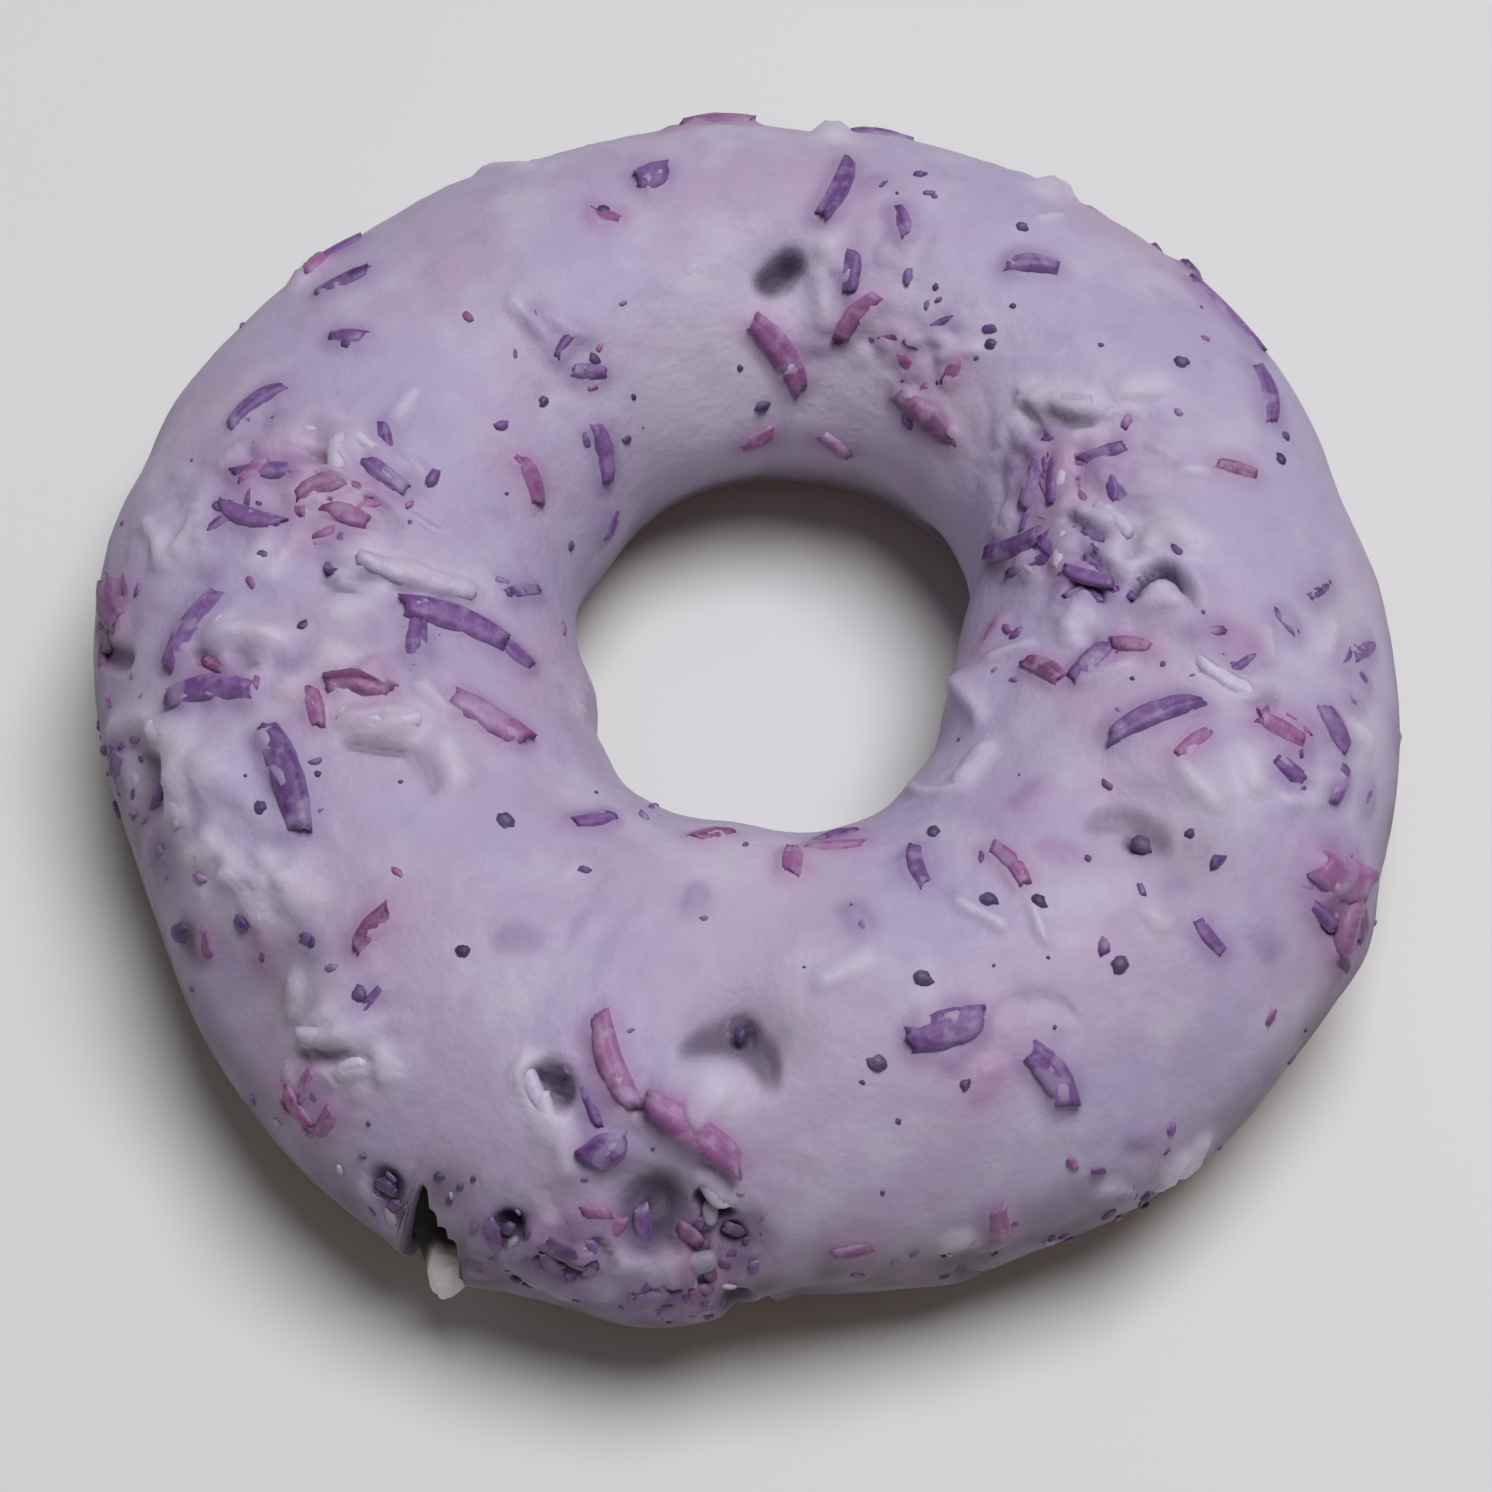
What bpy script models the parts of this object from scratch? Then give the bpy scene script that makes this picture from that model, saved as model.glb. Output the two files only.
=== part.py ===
"""Blueberry ring doughnut: a fried dough ring, dipped in lilac icing that holds curls of coloured icing.

Metres, +Z up. It lies on its base at z = 0, the hole runs along Z, and -Y is the side nearest the eater.
Two angles in degrees name a place on it. "round" goes round the ring, anticlockwise from +X. "over" goes
over the dough, from the rim (0) by the top (90) to the wall of the hole (180) and the base (270).
"""

import random

import bmesh
import bpy
import numpy as np
from mathutils import Matrix, Vector

MM = 0.001

# Driving sizes, measured over the icing
RIM_RADIUS = 44.7 * MM
HOLE_RADIUS = 14.5 * MM
HEIGHT = 25.5 * MM
GIRTH_LEVEL = 0.46 * HEIGHT  # where the ring is widest
FULLNESS = 0.95  # 1 is a true ellipse over the top, and less is fuller
BASE_DROP = 1.25  # how soon the underside reaches the table
BASE_SOFTNESS = 0.15  # how gently it does
BASE_FADE = 3 * MM  # height over which lumps die out towards the table

ICING = 1.3 * MM  # thickness of the coat
GAP = 0.3 * MM  # between the coat and the dough

# How far the fried ring is from round: waves in a turn, swing in mm, round angle of a crest
RIM_WAVES = ((2, 0.4, 164), (3, 0.25, 20), (4, 0.75, 60), (5, 0.4, 30))
HOLE_WAVES = ((1, 4.1, 59), (2, 1.6, 79), (3, 0.45, 70), (4, 0.4, 48))

# Where the icing ends, as over angles, and how its edges wander in degrees
RIM_EDGE = -24
HOLE_EDGE = 210
RIM_EDGE_WAVES = ((3, 4, 100), (7, 3, 20), (11, 2, 65))
HOLE_EDGE_WAVES = ((4, 4, 30), (9, 3, 10))
# Gaps that the icing left at the rim: round angle, half width and rise, in degrees
GAP_STEEPNESS = 4
RIM_EDGE_GAPS = ((244, 3.2, 46), (310, 3, 24), (271, 3, 14), (170, 9, 7))

# Long low swells of the surface: waves round, waves over, height in mm, start in degrees
SWELLS = ((5, 1, 0.22, 40), (8, 2, 0.16, 110), (13, 2, 0.10, 200), (3, 3, 0.14, 15))
# Lumps and hollows of the dough that the icing follows: round, over, reach in mm, height in mm
LUMPS = (
    # the near side: a lobe, the notch beside it, and sunk blisters
    (261, -8, 5.0, 1.0), (274, -14, 3.2, -1.7), (289, -18, 3.5, 0.6), (265, 64, 3.6, 1.1),
    (262, 39, 2.3, -1.7), (268, 24, 2.6, -1.1), (269, 81, 2.8, -1.3), (312, 30, 3.6, -0.5),
    (304, 8, 3.0, 0.7), (322, -8, 4.5, -0.5), (334, 8, 4.0, 0.9), (335, 30, 4.0, 0.4),
    # the left: a broad flat, a dimple in the rim and the swellings round it
    (244, -6, 3.4, 1.0), (240, 104, 2.4, -0.4), (247, 96, 2.6, -0.4), (219, 41, 5.5, -1.1),
    (229, 50, 3.4, 0.6), (208, 52, 3.6, 0.9), (198, 49, 2.6, 0.9), (193, 30, 3.2, -1.3),
    (159, 16, 3.5, -0.6), (120, 33, 5.0, 0.5),
    # the far side
    (94, 58, 3.0, 0.4), (83, 40, 3.5, -0.5), (85, 116, 2.6, -1.2), (18, 17, 5.0, -0.8),
    # the right
    (2, 50, 3.5, -0.6), (357, 92, 2.6, 0.9), (327, 92, 3.4, -1.1),
    # the wall of the hole
    (348, 152, 2.4, 1.0), (10, 170, 4.0, 0.9), (42, 202, 3.0, -1.5), (66, 208, 5.0, 0.5),
    (101, 208, 5.0, -0.5),
)
# Torn dough where the icing gapes, in the same terms
TORN_DOUGH = ((244, -6, 2.2, 0.8), (244, 17, 2.2, -1.5))

# Curls of coloured icing: round, over, turn from the way round, length in mm, width in mm
VIOLET_CURLS = (
    (137, 58, -25, 4.0, 1.3), (143, 75, -60, 2.5, 1.2), (155, 64, -30, 4.5, 1.4),
    (163, 74, -80, 4.5, 1.3), (159, 100, 65, 3.5, 1.3), (169, 73, 70, 5.0, 1.5),
    (101, 77, 10, 2.4, 2.2), (79, 85, 75, 5.5, 1.5), (123, 107, 90, 2.0, 1.0),
    (121, 116, 15, 2.6, 1.1), (124, 148, 70, 4.5, 1.5), (129, 171, 35, 2.2, 1.4),
    (70, 93, -60, 2.5, 1.1), (53, 89, 35, 3.6, 1.6), (37, 40, 8, 7.5, 1.3),
    (26, 52, -20, 5.5, 1.4), (29, 129, -35, 4.5, 1.4), (26, 122, -20, 4.0, 1.2),
    (25, 107, 90, 3.2, 1.1), (18, 105, 20, 3.2, 1.1), (20, 141, 80, 5.5, 1.6),
    (13, 126, 35, 3.2, 1.2), (5, 115, 65, 3.8, 1.1), (349, 113, -35, 3.4, 1.6),
    (341, 95, -50, 6.5, 1.7), (358, 66, 50, 2.2, 1.3), (358, 39, -50, 3.0, 1.1),
    (348, 50, 45, 3.0, 1.6), (341, 62, 80, 2.4, 1.3), (182, 58, -45, 6.0, 1.8),
    (190, 61, 70, 6.5, 1.9), (183, 118, 70, 7.5, 2.1), (188, 108, -15, 4.0, 1.5),
    (189, 134, 50, 2.6, 1.3), (169, 139, -65, 3.4, 1.0), (204, 72, -5, 8.0, 2.2),
    (237, 126, 65, 3.0, 1.3), (291, 138, 20, 3.0, 1.3), (300, 114, 80, 3.6, 1.2),
    (287, 102, -70, 2.0, 1.0), (292, 72, 0, 5.0, 2.5), (300, 53, -75, 4.5, 2.1),
    (321, 60, 85, 2.6, 1.1), (257, 51, 30, 2.8, 2.2), (254, 22, -25, 3.8, 1.7),
    (263, 9, 15, 2.8, 1.5), (221, 58, 20, 2.0, 1.1),
)
PINK_CURLS = (
    (84, 142, -60, 6.5, 2.0), (72, 127, 60, 4.2, 1.4), (88, 170, 30, 2.5, 1.4),
    (72, 172, -45, 2.8, 1.4), (54, 148, 0, 5.8, 2.2), (54, 131, 90, 2.0, 1.3),
    (108, 87, -45, 2.0, 1.2), (143, 134, 55, 3.5, 1.4), (164, 87, -55, 3.2, 1.6),
    (167, 94, 70, 3.0, 1.6), (176, 31, 25, 4.5, 2.3), (195, 93, 65, 4.4, 2.0),
    (206, 120, 45, 5.8, 2.1), (17, 74, 70, 2.8, 1.2), (348, 125, 60, 3.6, 1.5),
    (345, 66, 80, 3.4, 1.4), (335, 37, -70, 5.5, 3.0), (332, 26, 25, 4.5, 2.2),
    (262, 136, 40, 3.0, 1.3), (289, 131, -10, 3.8, 1.3), (311, 102, 88, 3.8, 1.2),
    (225, 71, -80, 3.3, 1.4), (229, 24, -20, 2.8, 1.4), (232, 27, 85, 2.8, 1.2),
    (256, 71, -60, 6.5, 1.8), (265, 57, -35, 7.2, 2.2), (279, 18, 0, 2.4, 1.3),
    (292, 15, -85, 3.4, 1.4),
)
WHITE_CURLS = (
    (157, 80, -60, 4.8, 1.4), (156, 97, 70, 4.8, 1.3), (175, 110, 75, 8.0, 1.7),
    (201, 95, 65, 5.2, 1.7), (193, 46, 40, 5.2, 1.7), (199, 45, -15, 4.0, 1.7),
    (37, 113, 50, 5.4, 1.5), (31, 90, 80, 3.2, 1.3), (14, 108, 40, 3.4, 1.5),
    (349, 79, 70, 5.6, 1.5), (267, 42, -65, 2.8, 1.4), (251, 56, -55, 3.0, 1.4),
    (229, 48, 45, 4.8, 1.4),
)
# The far rim's curls are drawn by chance between these limits, in the same terms
FAR_CURLS = 20
FAR_ROUND = (42, 150)
FAR_OVER = (-10, 46)
FAR_TURN = (-90, 90)
FAR_LENGTH = (2.2, 5.5)
FAR_WIDTH = (1.1, 2.0)

CURL_SIDES = 5
CURL_DEPTH = 0.62  # thickness as a share of the width
CURL_LIFT = 0.16  # centre above the icing, as a share of the thickness
CURL_TAPER = 0.3
CURL_BOW = 0.09  # most sideways bow, as a share of the length
CURL_SAG = 0.011  # how far the ends bend down with the ring, times the length in mm
CURL_SEED = 11

ROUND_STEPS = 84  # sections round the ring
CROWDING = 0.62  # share by which sections close up where the icing gapes
CROWD_REACH = 9  # and how far round from there, in degrees
COAT_STEPS = 19  # faces over the outside of the icing
SEAT_STEPS = 11  # faces under the icing, which the dough repeats
BASE_STEPS = 6  # faces of bare dough round the base
LIP = 2.5  # how far the icing's rounded edge stands past its end, in degrees over

SMOOTH_TO = 50  # edges up to this many degrees are shaded smooth
DOUGH_COLOUR = (0.55, 0.30, 0.12, 1)
DOUGH_ROUGHNESS = 0.7
ICING_COLOUR = (0.47, 0.38, 0.57, 1)
ICING_ROUGHNESS = 0.4


def wavy(mean, waves, round_deg):
    """A size that changes round the ring by a few waves. The swings are in the mean's own unit."""
    for count, swing, crest in waves:
        mean = mean + swing * np.cos(count * np.radians(round_deg - crest))
    return mean


def in_metres(waves):
    return [(count, swing * MM, crest) for count, swing, crest in waves]


def soft_floor(level):
    """level above zero and flat below, with a rounded change between them."""
    rounded = (level + BASE_SOFTNESS) ** 2 / (4 * BASE_SOFTNESS)
    return np.where(level > BASE_SOFTNESS, level, np.where(level < -BASE_SOFTNESS, 0, rounded))


def ring_point(round_deg, over_deg, depth=0.0):
    """The smooth ring's points, at a depth under the icing."""
    turn, lean = np.radians(round_deg), np.radians(over_deg)
    rim = wavy(RIM_RADIUS, in_metres(RIM_WAVES), round_deg)
    hole = wavy(HOLE_RADIUS, in_metres(HOLE_WAVES), round_deg)
    outward, upward = np.cos(lean), np.sin(lean)
    sideways = np.sign(outward) * np.abs(outward) ** FULLNESS
    reach = (rim + hole) / 2 + ((rim - hole) / 2 - depth) * sideways
    top = GIRTH_LEVEL + (HEIGHT - GIRTH_LEVEL - depth) * np.abs(upward) ** FULLNESS
    bottom = GIRTH_LEVEL * soft_floor(1 - BASE_DROP * np.abs(upward))
    level = np.where(upward >= 0, top, bottom)
    return np.stack([reach * np.cos(turn), reach * np.sin(turn), level], axis=-1)


def unit(vectors):
    return vectors / np.linalg.norm(vectors, axis=-1, keepdims=True)


def directions(round_deg, over_deg, step=0.1):
    """Unit vectors along the ring, over the dough and out of it."""
    along = unit(ring_point(round_deg + step, over_deg) - ring_point(round_deg - step, over_deg))
    over = ring_point(round_deg, over_deg + step) - ring_point(round_deg, over_deg - step)
    over = unit(over - along * (over * along).sum(axis=-1, keepdims=True))
    return along, over, np.cross(along, over)


def lumps_height(here, lumps):
    """How far these lumps raise the points."""
    height = np.zeros(here.shape[:-1])
    for lump_round, lump_over, reach, rise in lumps:
        away = np.linalg.norm(here - ring_point(lump_round, lump_over), axis=-1)
        height = height + rise * MM * np.exp(-((away / (reach * MM)) ** 2))
    return height


def relief(round_deg, over_deg, lumps):
    """How far the surface stands out from the smooth ring. It dies out towards the base, which stays flat."""
    here = ring_point(round_deg, over_deg)
    height = lumps_height(here, lumps)
    for waves_round, waves_over, swell, start in SWELLS:
        round_swing = np.sin(np.radians(waves_round * round_deg + start))
        over_swing = np.cos(np.radians(waves_over * over_deg))
        height = height + swell * MM * round_swing * over_swing
    return height * np.clip(here[..., 2] / BASE_FADE, 0, 1)


def surface(round_deg, over_deg, depth=0.0, lumps=LUMPS):
    """The doughnut's points with its lumps, at a depth under the icing."""
    out = directions(round_deg, over_deg)[2]
    return ring_point(round_deg, over_deg, depth) + out * relief(round_deg, over_deg, lumps)[..., None]


def icing_edges(round_deg):
    """The over angles at which the icing ends on the rim and in the hole."""
    rim = wavy(RIM_EDGE, RIM_EDGE_WAVES, round_deg)
    for centre, half_width, rise in RIM_EDGE_GAPS:
        away = (round_deg - centre + 180) % 360 - 180
        rim = rim + rise * np.exp(-((away / half_width) ** GAP_STEEPNESS))
    return rim, wavy(HOLE_EDGE, HOLE_EDGE_WAVES, round_deg)


def material(name, colour, roughness):
    made = bpy.data.materials.new(name)
    made.use_nodes = True
    shader = made.node_tree.nodes["Principled BSDF"]
    shader.inputs["Base Color"].default_value = colour
    shader.inputs["Roughness"].default_value = roughness
    shader.inputs["Metallic"].default_value = 0
    return made


def section_places():
    """The sections' round angles: even, but closer together at the gaps in the icing."""
    even = np.arange(ROUND_STEPS) * 360 / ROUND_STEPS
    places = even.copy()
    for centre, _, _ in RIM_EDGE_GAPS:
        away = (even - centre + 180) % 360 - 180
        places -= CROWDING * away * np.exp(-((away / CROWD_REACH) ** 2))
    return places


def ring_of_sections(name, section, lumps, finish, collection):
    """A torus with every section reshaped. section(round) gives the over angles and depths of its points."""
    round_deg = section_places()
    over_deg, depth = section(round_deg[:, None])
    bpy.ops.mesh.primitive_torus_add(major_segments=ROUND_STEPS, minor_segments=over_deg.shape[1])
    ring = bpy.context.object
    ring.name = ring.data.name = name
    points = surface(np.broadcast_to(round_deg[:, None], over_deg.shape), over_deg, depth, lumps)
    ring.data.vertices.foreach_set("co", points.astype(np.float32).ravel())
    ring.data.update()
    ring.data.materials.append(finish)
    facets = ring.modifiers.new("facets", "TRIANGULATE")
    facets.quad_method = "SHORTEST_DIAGONAL"
    for holder in ring.users_collection:
        holder.objects.unlink(ring)
    collection.objects.link(ring)
    return ring


def icing_section(round_deg):
    """Over the coat, round its lip in the hole, back underneath and round its lip at the rim."""
    rim, hole = icing_edges(round_deg)
    outside = rim + (hole - rim) * np.linspace(0, 1, COAT_STEPS + 1)
    underside = hole + (rim - hole) * np.linspace(0, 1, SEAT_STEPS + 1)
    over_deg = np.concatenate([outside, hole + LIP, underside, rim - LIP], axis=1)
    depth = np.concatenate([
        np.zeros(outside.shape),
        np.full(hole.shape, ICING / 2),
        np.full(underside.shape, ICING),
        np.full(rim.shape, ICING / 2),
    ], axis=1)
    return over_deg, depth


def dough_section(round_deg):
    """Up under the icing with the same steps as the coat's underside, then round the bare base."""
    rim, hole = icing_edges(round_deg)
    seat = rim + (hole - rim) * np.linspace(0, 1, SEAT_STEPS + 1)
    base = hole + (rim + 360 - hole) * np.linspace(0, 1, BASE_STEPS + 1)[1:-1]
    over_deg = np.concatenate([seat, base], axis=1)
    return over_deg, np.full(over_deg.shape, ICING + GAP)


def far_curls(chance):
    """Curls spread along the far rim, each in its own stretch of it."""
    first, last = FAR_ROUND
    for number in range(FAR_CURLS):
        round_deg = first + (last - first) * (number + chance.random()) / FAR_CURLS
        rest = [chance.uniform(*limits) for limits in (FAR_OVER, FAR_TURN, FAR_LENGTH, FAR_WIDTH)]
        yield round_deg, *rest


def curl(name, place, bow, coat, collection):
    """A short curl of icing, half sunk in the coat: a five-sided bar in two lengths, tapered and bowed."""
    round_deg, over_deg, turn_deg, length, width = place
    shape = bmesh.new()
    bmesh.ops.create_cone(
        shape, cap_ends=True, segments=CURL_SIDES, radius1=0.5, radius2=0.5, depth=1
    )
    bmesh.ops.bisect_plane(
        shape, geom=shape.verts[:] + shape.edges[:] + shape.faces[:], plane_co=(0, 0, 0), plane_no=(0, 0, 1)
    )
    thickness = width * CURL_DEPTH
    for point in shape.verts:
        share = 2 * point.co.z
        slim = 1 - CURL_TAPER * share**2
        point.co = Vector((
            share * length / 2,
            point.co.x * width * slim + bow * length * (share**2 - 0.5),
            point.co.y * thickness * slim + CURL_LIFT * thickness - CURL_SAG * (share * length / 2) ** 2,
        )) * MM
    along, over, out = (Vector(way) for way in directions(round_deg, over_deg))
    axes = Matrix((along, over, out)).transposed().to_4x4()
    seat = coat.closest_point_on_mesh(Vector(surface(round_deg, over_deg)))[1]
    turn = Matrix.Rotation(np.radians(turn_deg), 4, "Z")
    shape.transform(Matrix.Translation(seat) @ axes @ turn)
    mesh = bpy.data.meshes.new(name)
    shape.to_mesh(mesh)
    shape.free()
    collection.objects.link(bpy.data.objects.new(name, mesh))


def fuse(body, collection):
    """Joins every object of the collection to the body and removes them."""
    join = body.modifiers.new("fuse", "BOOLEAN")
    join.operation = "UNION"
    join.operand_type = "COLLECTION"
    join.collection = collection
    bpy.context.view_layer.update()
    fused = bpy.data.meshes.new_from_object(body.evaluated_get(bpy.context.evaluated_depsgraph_get()))
    body.modifiers.clear()
    fused.name = body.name
    body.data = fused
    for piece in list(collection.objects):
        bpy.data.objects.remove(piece)
    bpy.data.collections.remove(collection)


def centre_on_origin(parts):
    """Moves the parts together so that the middle of their common box stands over the origin."""
    corners = np.array([vertex.co for part in parts for vertex in part.data.vertices])
    middle = (corners.min(axis=0) + corners.max(axis=0)) / 2
    for part in parts:
        part.data.transform(Matrix.Translation((-middle[0], -middle[1], -corners[:, 2].min())))


def main():
    for old in list(bpy.data.objects):
        bpy.data.objects.remove(old)
    doughnut = bpy.data.collections.new("blueberry_doughnut")
    curls = bpy.data.collections.new("curls")
    bpy.context.scene.collection.children.link(doughnut)
    bpy.context.scene.collection.children.link(curls)

    crust = material("fried_dough", DOUGH_COLOUR, DOUGH_ROUGHNESS)
    lilac = material("lilac_icing", ICING_COLOUR, ICING_ROUGHNESS)
    dough = ring_of_sections("dough", dough_section, LUMPS + TORN_DOUGH, crust, doughnut)
    icing = ring_of_sections("icing", icing_section, LUMPS, lilac, doughnut)

    bpy.context.view_layer.update()
    chance = random.Random(CURL_SEED)
    places = [*VIOLET_CURLS, *PINK_CURLS, *WHITE_CURLS, *far_curls(chance)]
    for number, place in enumerate(places):
        curl(f"curl_{number}", place, chance.uniform(-CURL_BOW, CURL_BOW), icing, curls)
    fuse(icing, curls)

    centre_on_origin([dough, icing])
    for part in (dough, icing):
        part.data.shade_smooth()
        part.data.set_sharp_from_angle(angle=np.radians(SMOOTH_TO))


main()
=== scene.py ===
"""The looks of a blueberry ring doughnut: fried dough, lilac icing and the curls of coloured icing set in it.

The frame is in metres, +Z up, with the near side at -Y. Two angles in degrees name a place on the doughnut.
"round" goes round the ring, anticlockwise from +X. "over" goes over the dough, from the rim (0) by the top
(90) to the wall of the hole (180) and the base (270).
"""

import random
from collections import namedtuple

import bpy
import numpy as np
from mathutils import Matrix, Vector, noise


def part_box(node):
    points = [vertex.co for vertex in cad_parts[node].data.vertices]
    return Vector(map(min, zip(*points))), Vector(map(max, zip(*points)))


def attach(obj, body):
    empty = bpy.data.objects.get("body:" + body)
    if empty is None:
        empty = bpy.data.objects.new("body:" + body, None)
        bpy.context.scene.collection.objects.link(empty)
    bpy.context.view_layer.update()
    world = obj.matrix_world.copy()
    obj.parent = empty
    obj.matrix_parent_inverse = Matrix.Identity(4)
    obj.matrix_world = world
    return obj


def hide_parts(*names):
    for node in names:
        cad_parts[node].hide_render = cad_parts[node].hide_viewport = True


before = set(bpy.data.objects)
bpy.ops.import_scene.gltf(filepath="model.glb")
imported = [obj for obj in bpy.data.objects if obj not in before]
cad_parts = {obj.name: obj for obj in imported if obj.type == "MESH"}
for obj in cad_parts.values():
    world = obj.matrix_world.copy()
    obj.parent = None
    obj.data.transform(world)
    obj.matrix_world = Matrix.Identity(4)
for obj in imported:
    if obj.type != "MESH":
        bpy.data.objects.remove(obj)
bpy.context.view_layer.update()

MM = 0.001

# ---------------------------------------------------------------- the form, as the solids have it

RIM_RADIUS = 44.7 * MM
HOLE_RADIUS = 14.5 * MM
HEIGHT = 25.5 * MM
GIRTH_LEVEL = 0.46 * HEIGHT  # where the ring is widest
FULLNESS = 0.95  # 1 is a true ellipse over the top, and less is fuller
BASE_DROP = 1.25  # how soon the underside reaches the table
BASE_SOFTNESS = 0.15  # how gently it does
BASE_FADE = 3 * MM  # height over which lumps die out towards the table
ICING = 1.3 * MM  # thickness of the coat
GAP = 0.3 * MM  # between the solids of coat and dough

# How far the fried ring is from round: waves in a turn, swing in mm, round angle of a crest
RIM_WAVES = ((2, 0.4, 164), (3, 0.25, 20), (4, 0.75, 60), (5, 0.4, 30))
HOLE_WAVES = ((1, 4.1, 59), (2, 1.6, 79), (3, 0.45, 70), (4, 0.4, 48))

# Where the icing ends, as over angles, and how its edges wander in degrees
RIM_EDGE = -24
HOLE_EDGE = 210
RIM_EDGE_WAVES = ((3, 4, 100), (7, 3, 20), (11, 2, 65), (37, 1.1, 15), (61, 0.7, 40))
HOLE_EDGE_WAVES = ((4, 4, 30), (9, 3, 10))
# Gaps that the icing left at the rim: round angle, half width and rise, in degrees
GAP_STEEPNESS = 4
RIM_EDGE_GAPS = (
    (242.2, 1.2, 54), (243.3, 1.2, 49), (244.4, 1.2, 45), (245.3, 1.2, 41), (310, 3, 24), (269.8, 2.2, 24),
    (170, 9, 7),
)

# Long low swells of the surface: waves round, waves over, height in mm, start in degrees
SWELLS = ((5, 1, 0.22, 40), (8, 2, 0.16, 110), (13, 2, 0.10, 200), (3, 3, 0.14, 15))
# Lumps and hollows of the dough that the icing follows: round, over, reach in mm, height in mm
LUMPS = (
    # the near side: a lobe, the notch beside it, and sunk blisters
    (261, -8, 5, 1), (274, -14, 3.2, -1.7), (289, -18, 3.5, 0.6), (265, 64, 3.6, 1.1), (262, 39, 2.3, -1.7),
    (268, 24, 2.6, -1.1), (269, 81, 2.8, -1.3), (312, 30, 3.6, -0.5), (304, 8, 3, 0.7),
    (322, -8, 4.5, -0.5), (334, 8, 4, 0.9), (335, 30, 4, 0.4),
    # the left: a broad flat, a dimple in the rim and the swellings round it
    (244, -6, 3.4, 1), (240, 104, 2.4, -0.4), (247, 96, 2.6, -0.4), (219, 41, 5.5, -1.1),
    (229, 50, 3.4, 0.6), (208, 52, 3.6, 0.9), (198, 49, 2.6, 0.9), (193, 30, 3.2, -1.3),
    (159, 16, 3.5, -0.6), (120, 33, 5, 0.5),
    # the far side
    (94, 58, 3, 0.4), (83, 40, 3.5, -0.5), (85, 116, 2.6, -1.2), (18, 17, 5, -0.8),
    # the right
    (2, 50, 3.5, -0.6), (357, 92, 2.6, 0.9), (327, 92, 3.4, -1.1),
    # the wall of the hole
    (348, 152, 2.4, 1), (10, 170, 4, 0.9), (42, 202, 3, -1.5), (66, 208, 5, 0.5), (101, 208, 5, -0.5),
)
# Smaller ones of the icing alone, in the same terms
ICING_LUMPS = (
    (194, 31, 2.6, -0.7), (219, 39, 4.6, -0.5), (225, 52, 2.2, 0.5), (250, 61, 1.5, -0.5),
    (186, 70, 2.2, 0.5), (200, 58, 2.4, 0.5), (268, 30, 1.8, -0.5), (262, 34, 2.2, 0.4),
    (33, 122, 2.4, 0.4), (12, 116, 2.2, 0.5), (48, 168, 4, 0.3), (60, 170, 4, 0.45), (74, 172, 4, 0.5),
    (88, 172, 4, 0.5), (102, 170, 4, 0.4), (267.3, 65, 2.4, 0.35), (216, 59, 2.4, 0.4),
    (327, 77, 2.4, -0.3),
)
# Torn dough where the icing gapes: the ones that the solids have, and finer ones
TORN_DOUGH = ((244, -6, 2.2, 0.8), (244, 17, 2.2, -1.5))
FINE_TEARS = (
    (244.4, -8, 1.1, 1.2), (244.8, -15, 1.3, 2.2), (245, -22, 1.3, 1.6), (242.4, 22, 1.6, -1.6),
    (245.6, 14, 1.2, -1.4), (243.6, 6, 1.2, -1.2),
)

# Curls of coloured icing: round, over, turn from the way round, length in mm, width in mm
VIOLET_CURLS = (
    (137, 58, -25, 4, 1.3), (143, 75, -60, 2.5, 1.2), (155, 64, -30, 4.5, 1.4), (163, 74, -80, 4.5, 1.3),
    (159, 100, 65, 3.5, 1.3), (169, 73, 70, 5, 1.5), (101, 77, 10, 2.4, 2.2), (79, 85, 75, 5.5, 1.5),
    (123, 107, 90, 2, 1), (121, 116, 15, 2.6, 1.1), (124, 148, 70, 4.5, 1.5), (129, 171, 35, 2.2, 1.4),
    (70, 93, -60, 2.5, 1.1), (53, 89, 35, 3.6, 1.6), (37, 40, 8, 7.5, 1.3), (26, 52, -20, 5.5, 1.4),
    (29, 129, -35, 4.5, 1.4), (26, 122, -20, 4, 1.2), (25, 107, 90, 3.2, 1.1), (18, 105, 20, 3.2, 1.1),
    (20, 141, 80, 5.5, 1.6), (13, 126, 35, 3.2, 1.2), (5, 115, 65, 3.8, 1.1), (349, 113, -35, 3.4, 1.6),
    (341, 95, -50, 6.5, 1.7), (358, 66, 50, 2.2, 1.3), (358, 39, -50, 3, 1.1), (348, 50, 45, 3, 1.6),
    (341, 62, 80, 2.4, 1.3), (182, 58, -45, 6, 1.8), (190, 61, 70, 6.5, 1.9), (183, 118, 70, 7.5, 2.1),
    (188, 108, -15, 4, 1.5), (189, 134, 50, 2.6, 1.3), (169, 139, -65, 3.4, 1), (204, 72, -5, 8, 2.2),
    (237, 126, 65, 3, 1.3), (291, 138, 20, 3, 1.3), (300, 114, 80, 3.6, 1.2), (287, 102, -70, 2, 1),
    (292, 72, 0, 5, 2.5), (300, 53, -75, 4.5, 2.1), (321, 60, 85, 2.6, 1.1), (257, 51, 30, 2.8, 2.2),
    (254, 22, -25, 3.8, 1.7), (263, 9, 15, 2.8, 1.5), (221, 58, 20, 2, 1.1),
)
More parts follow.
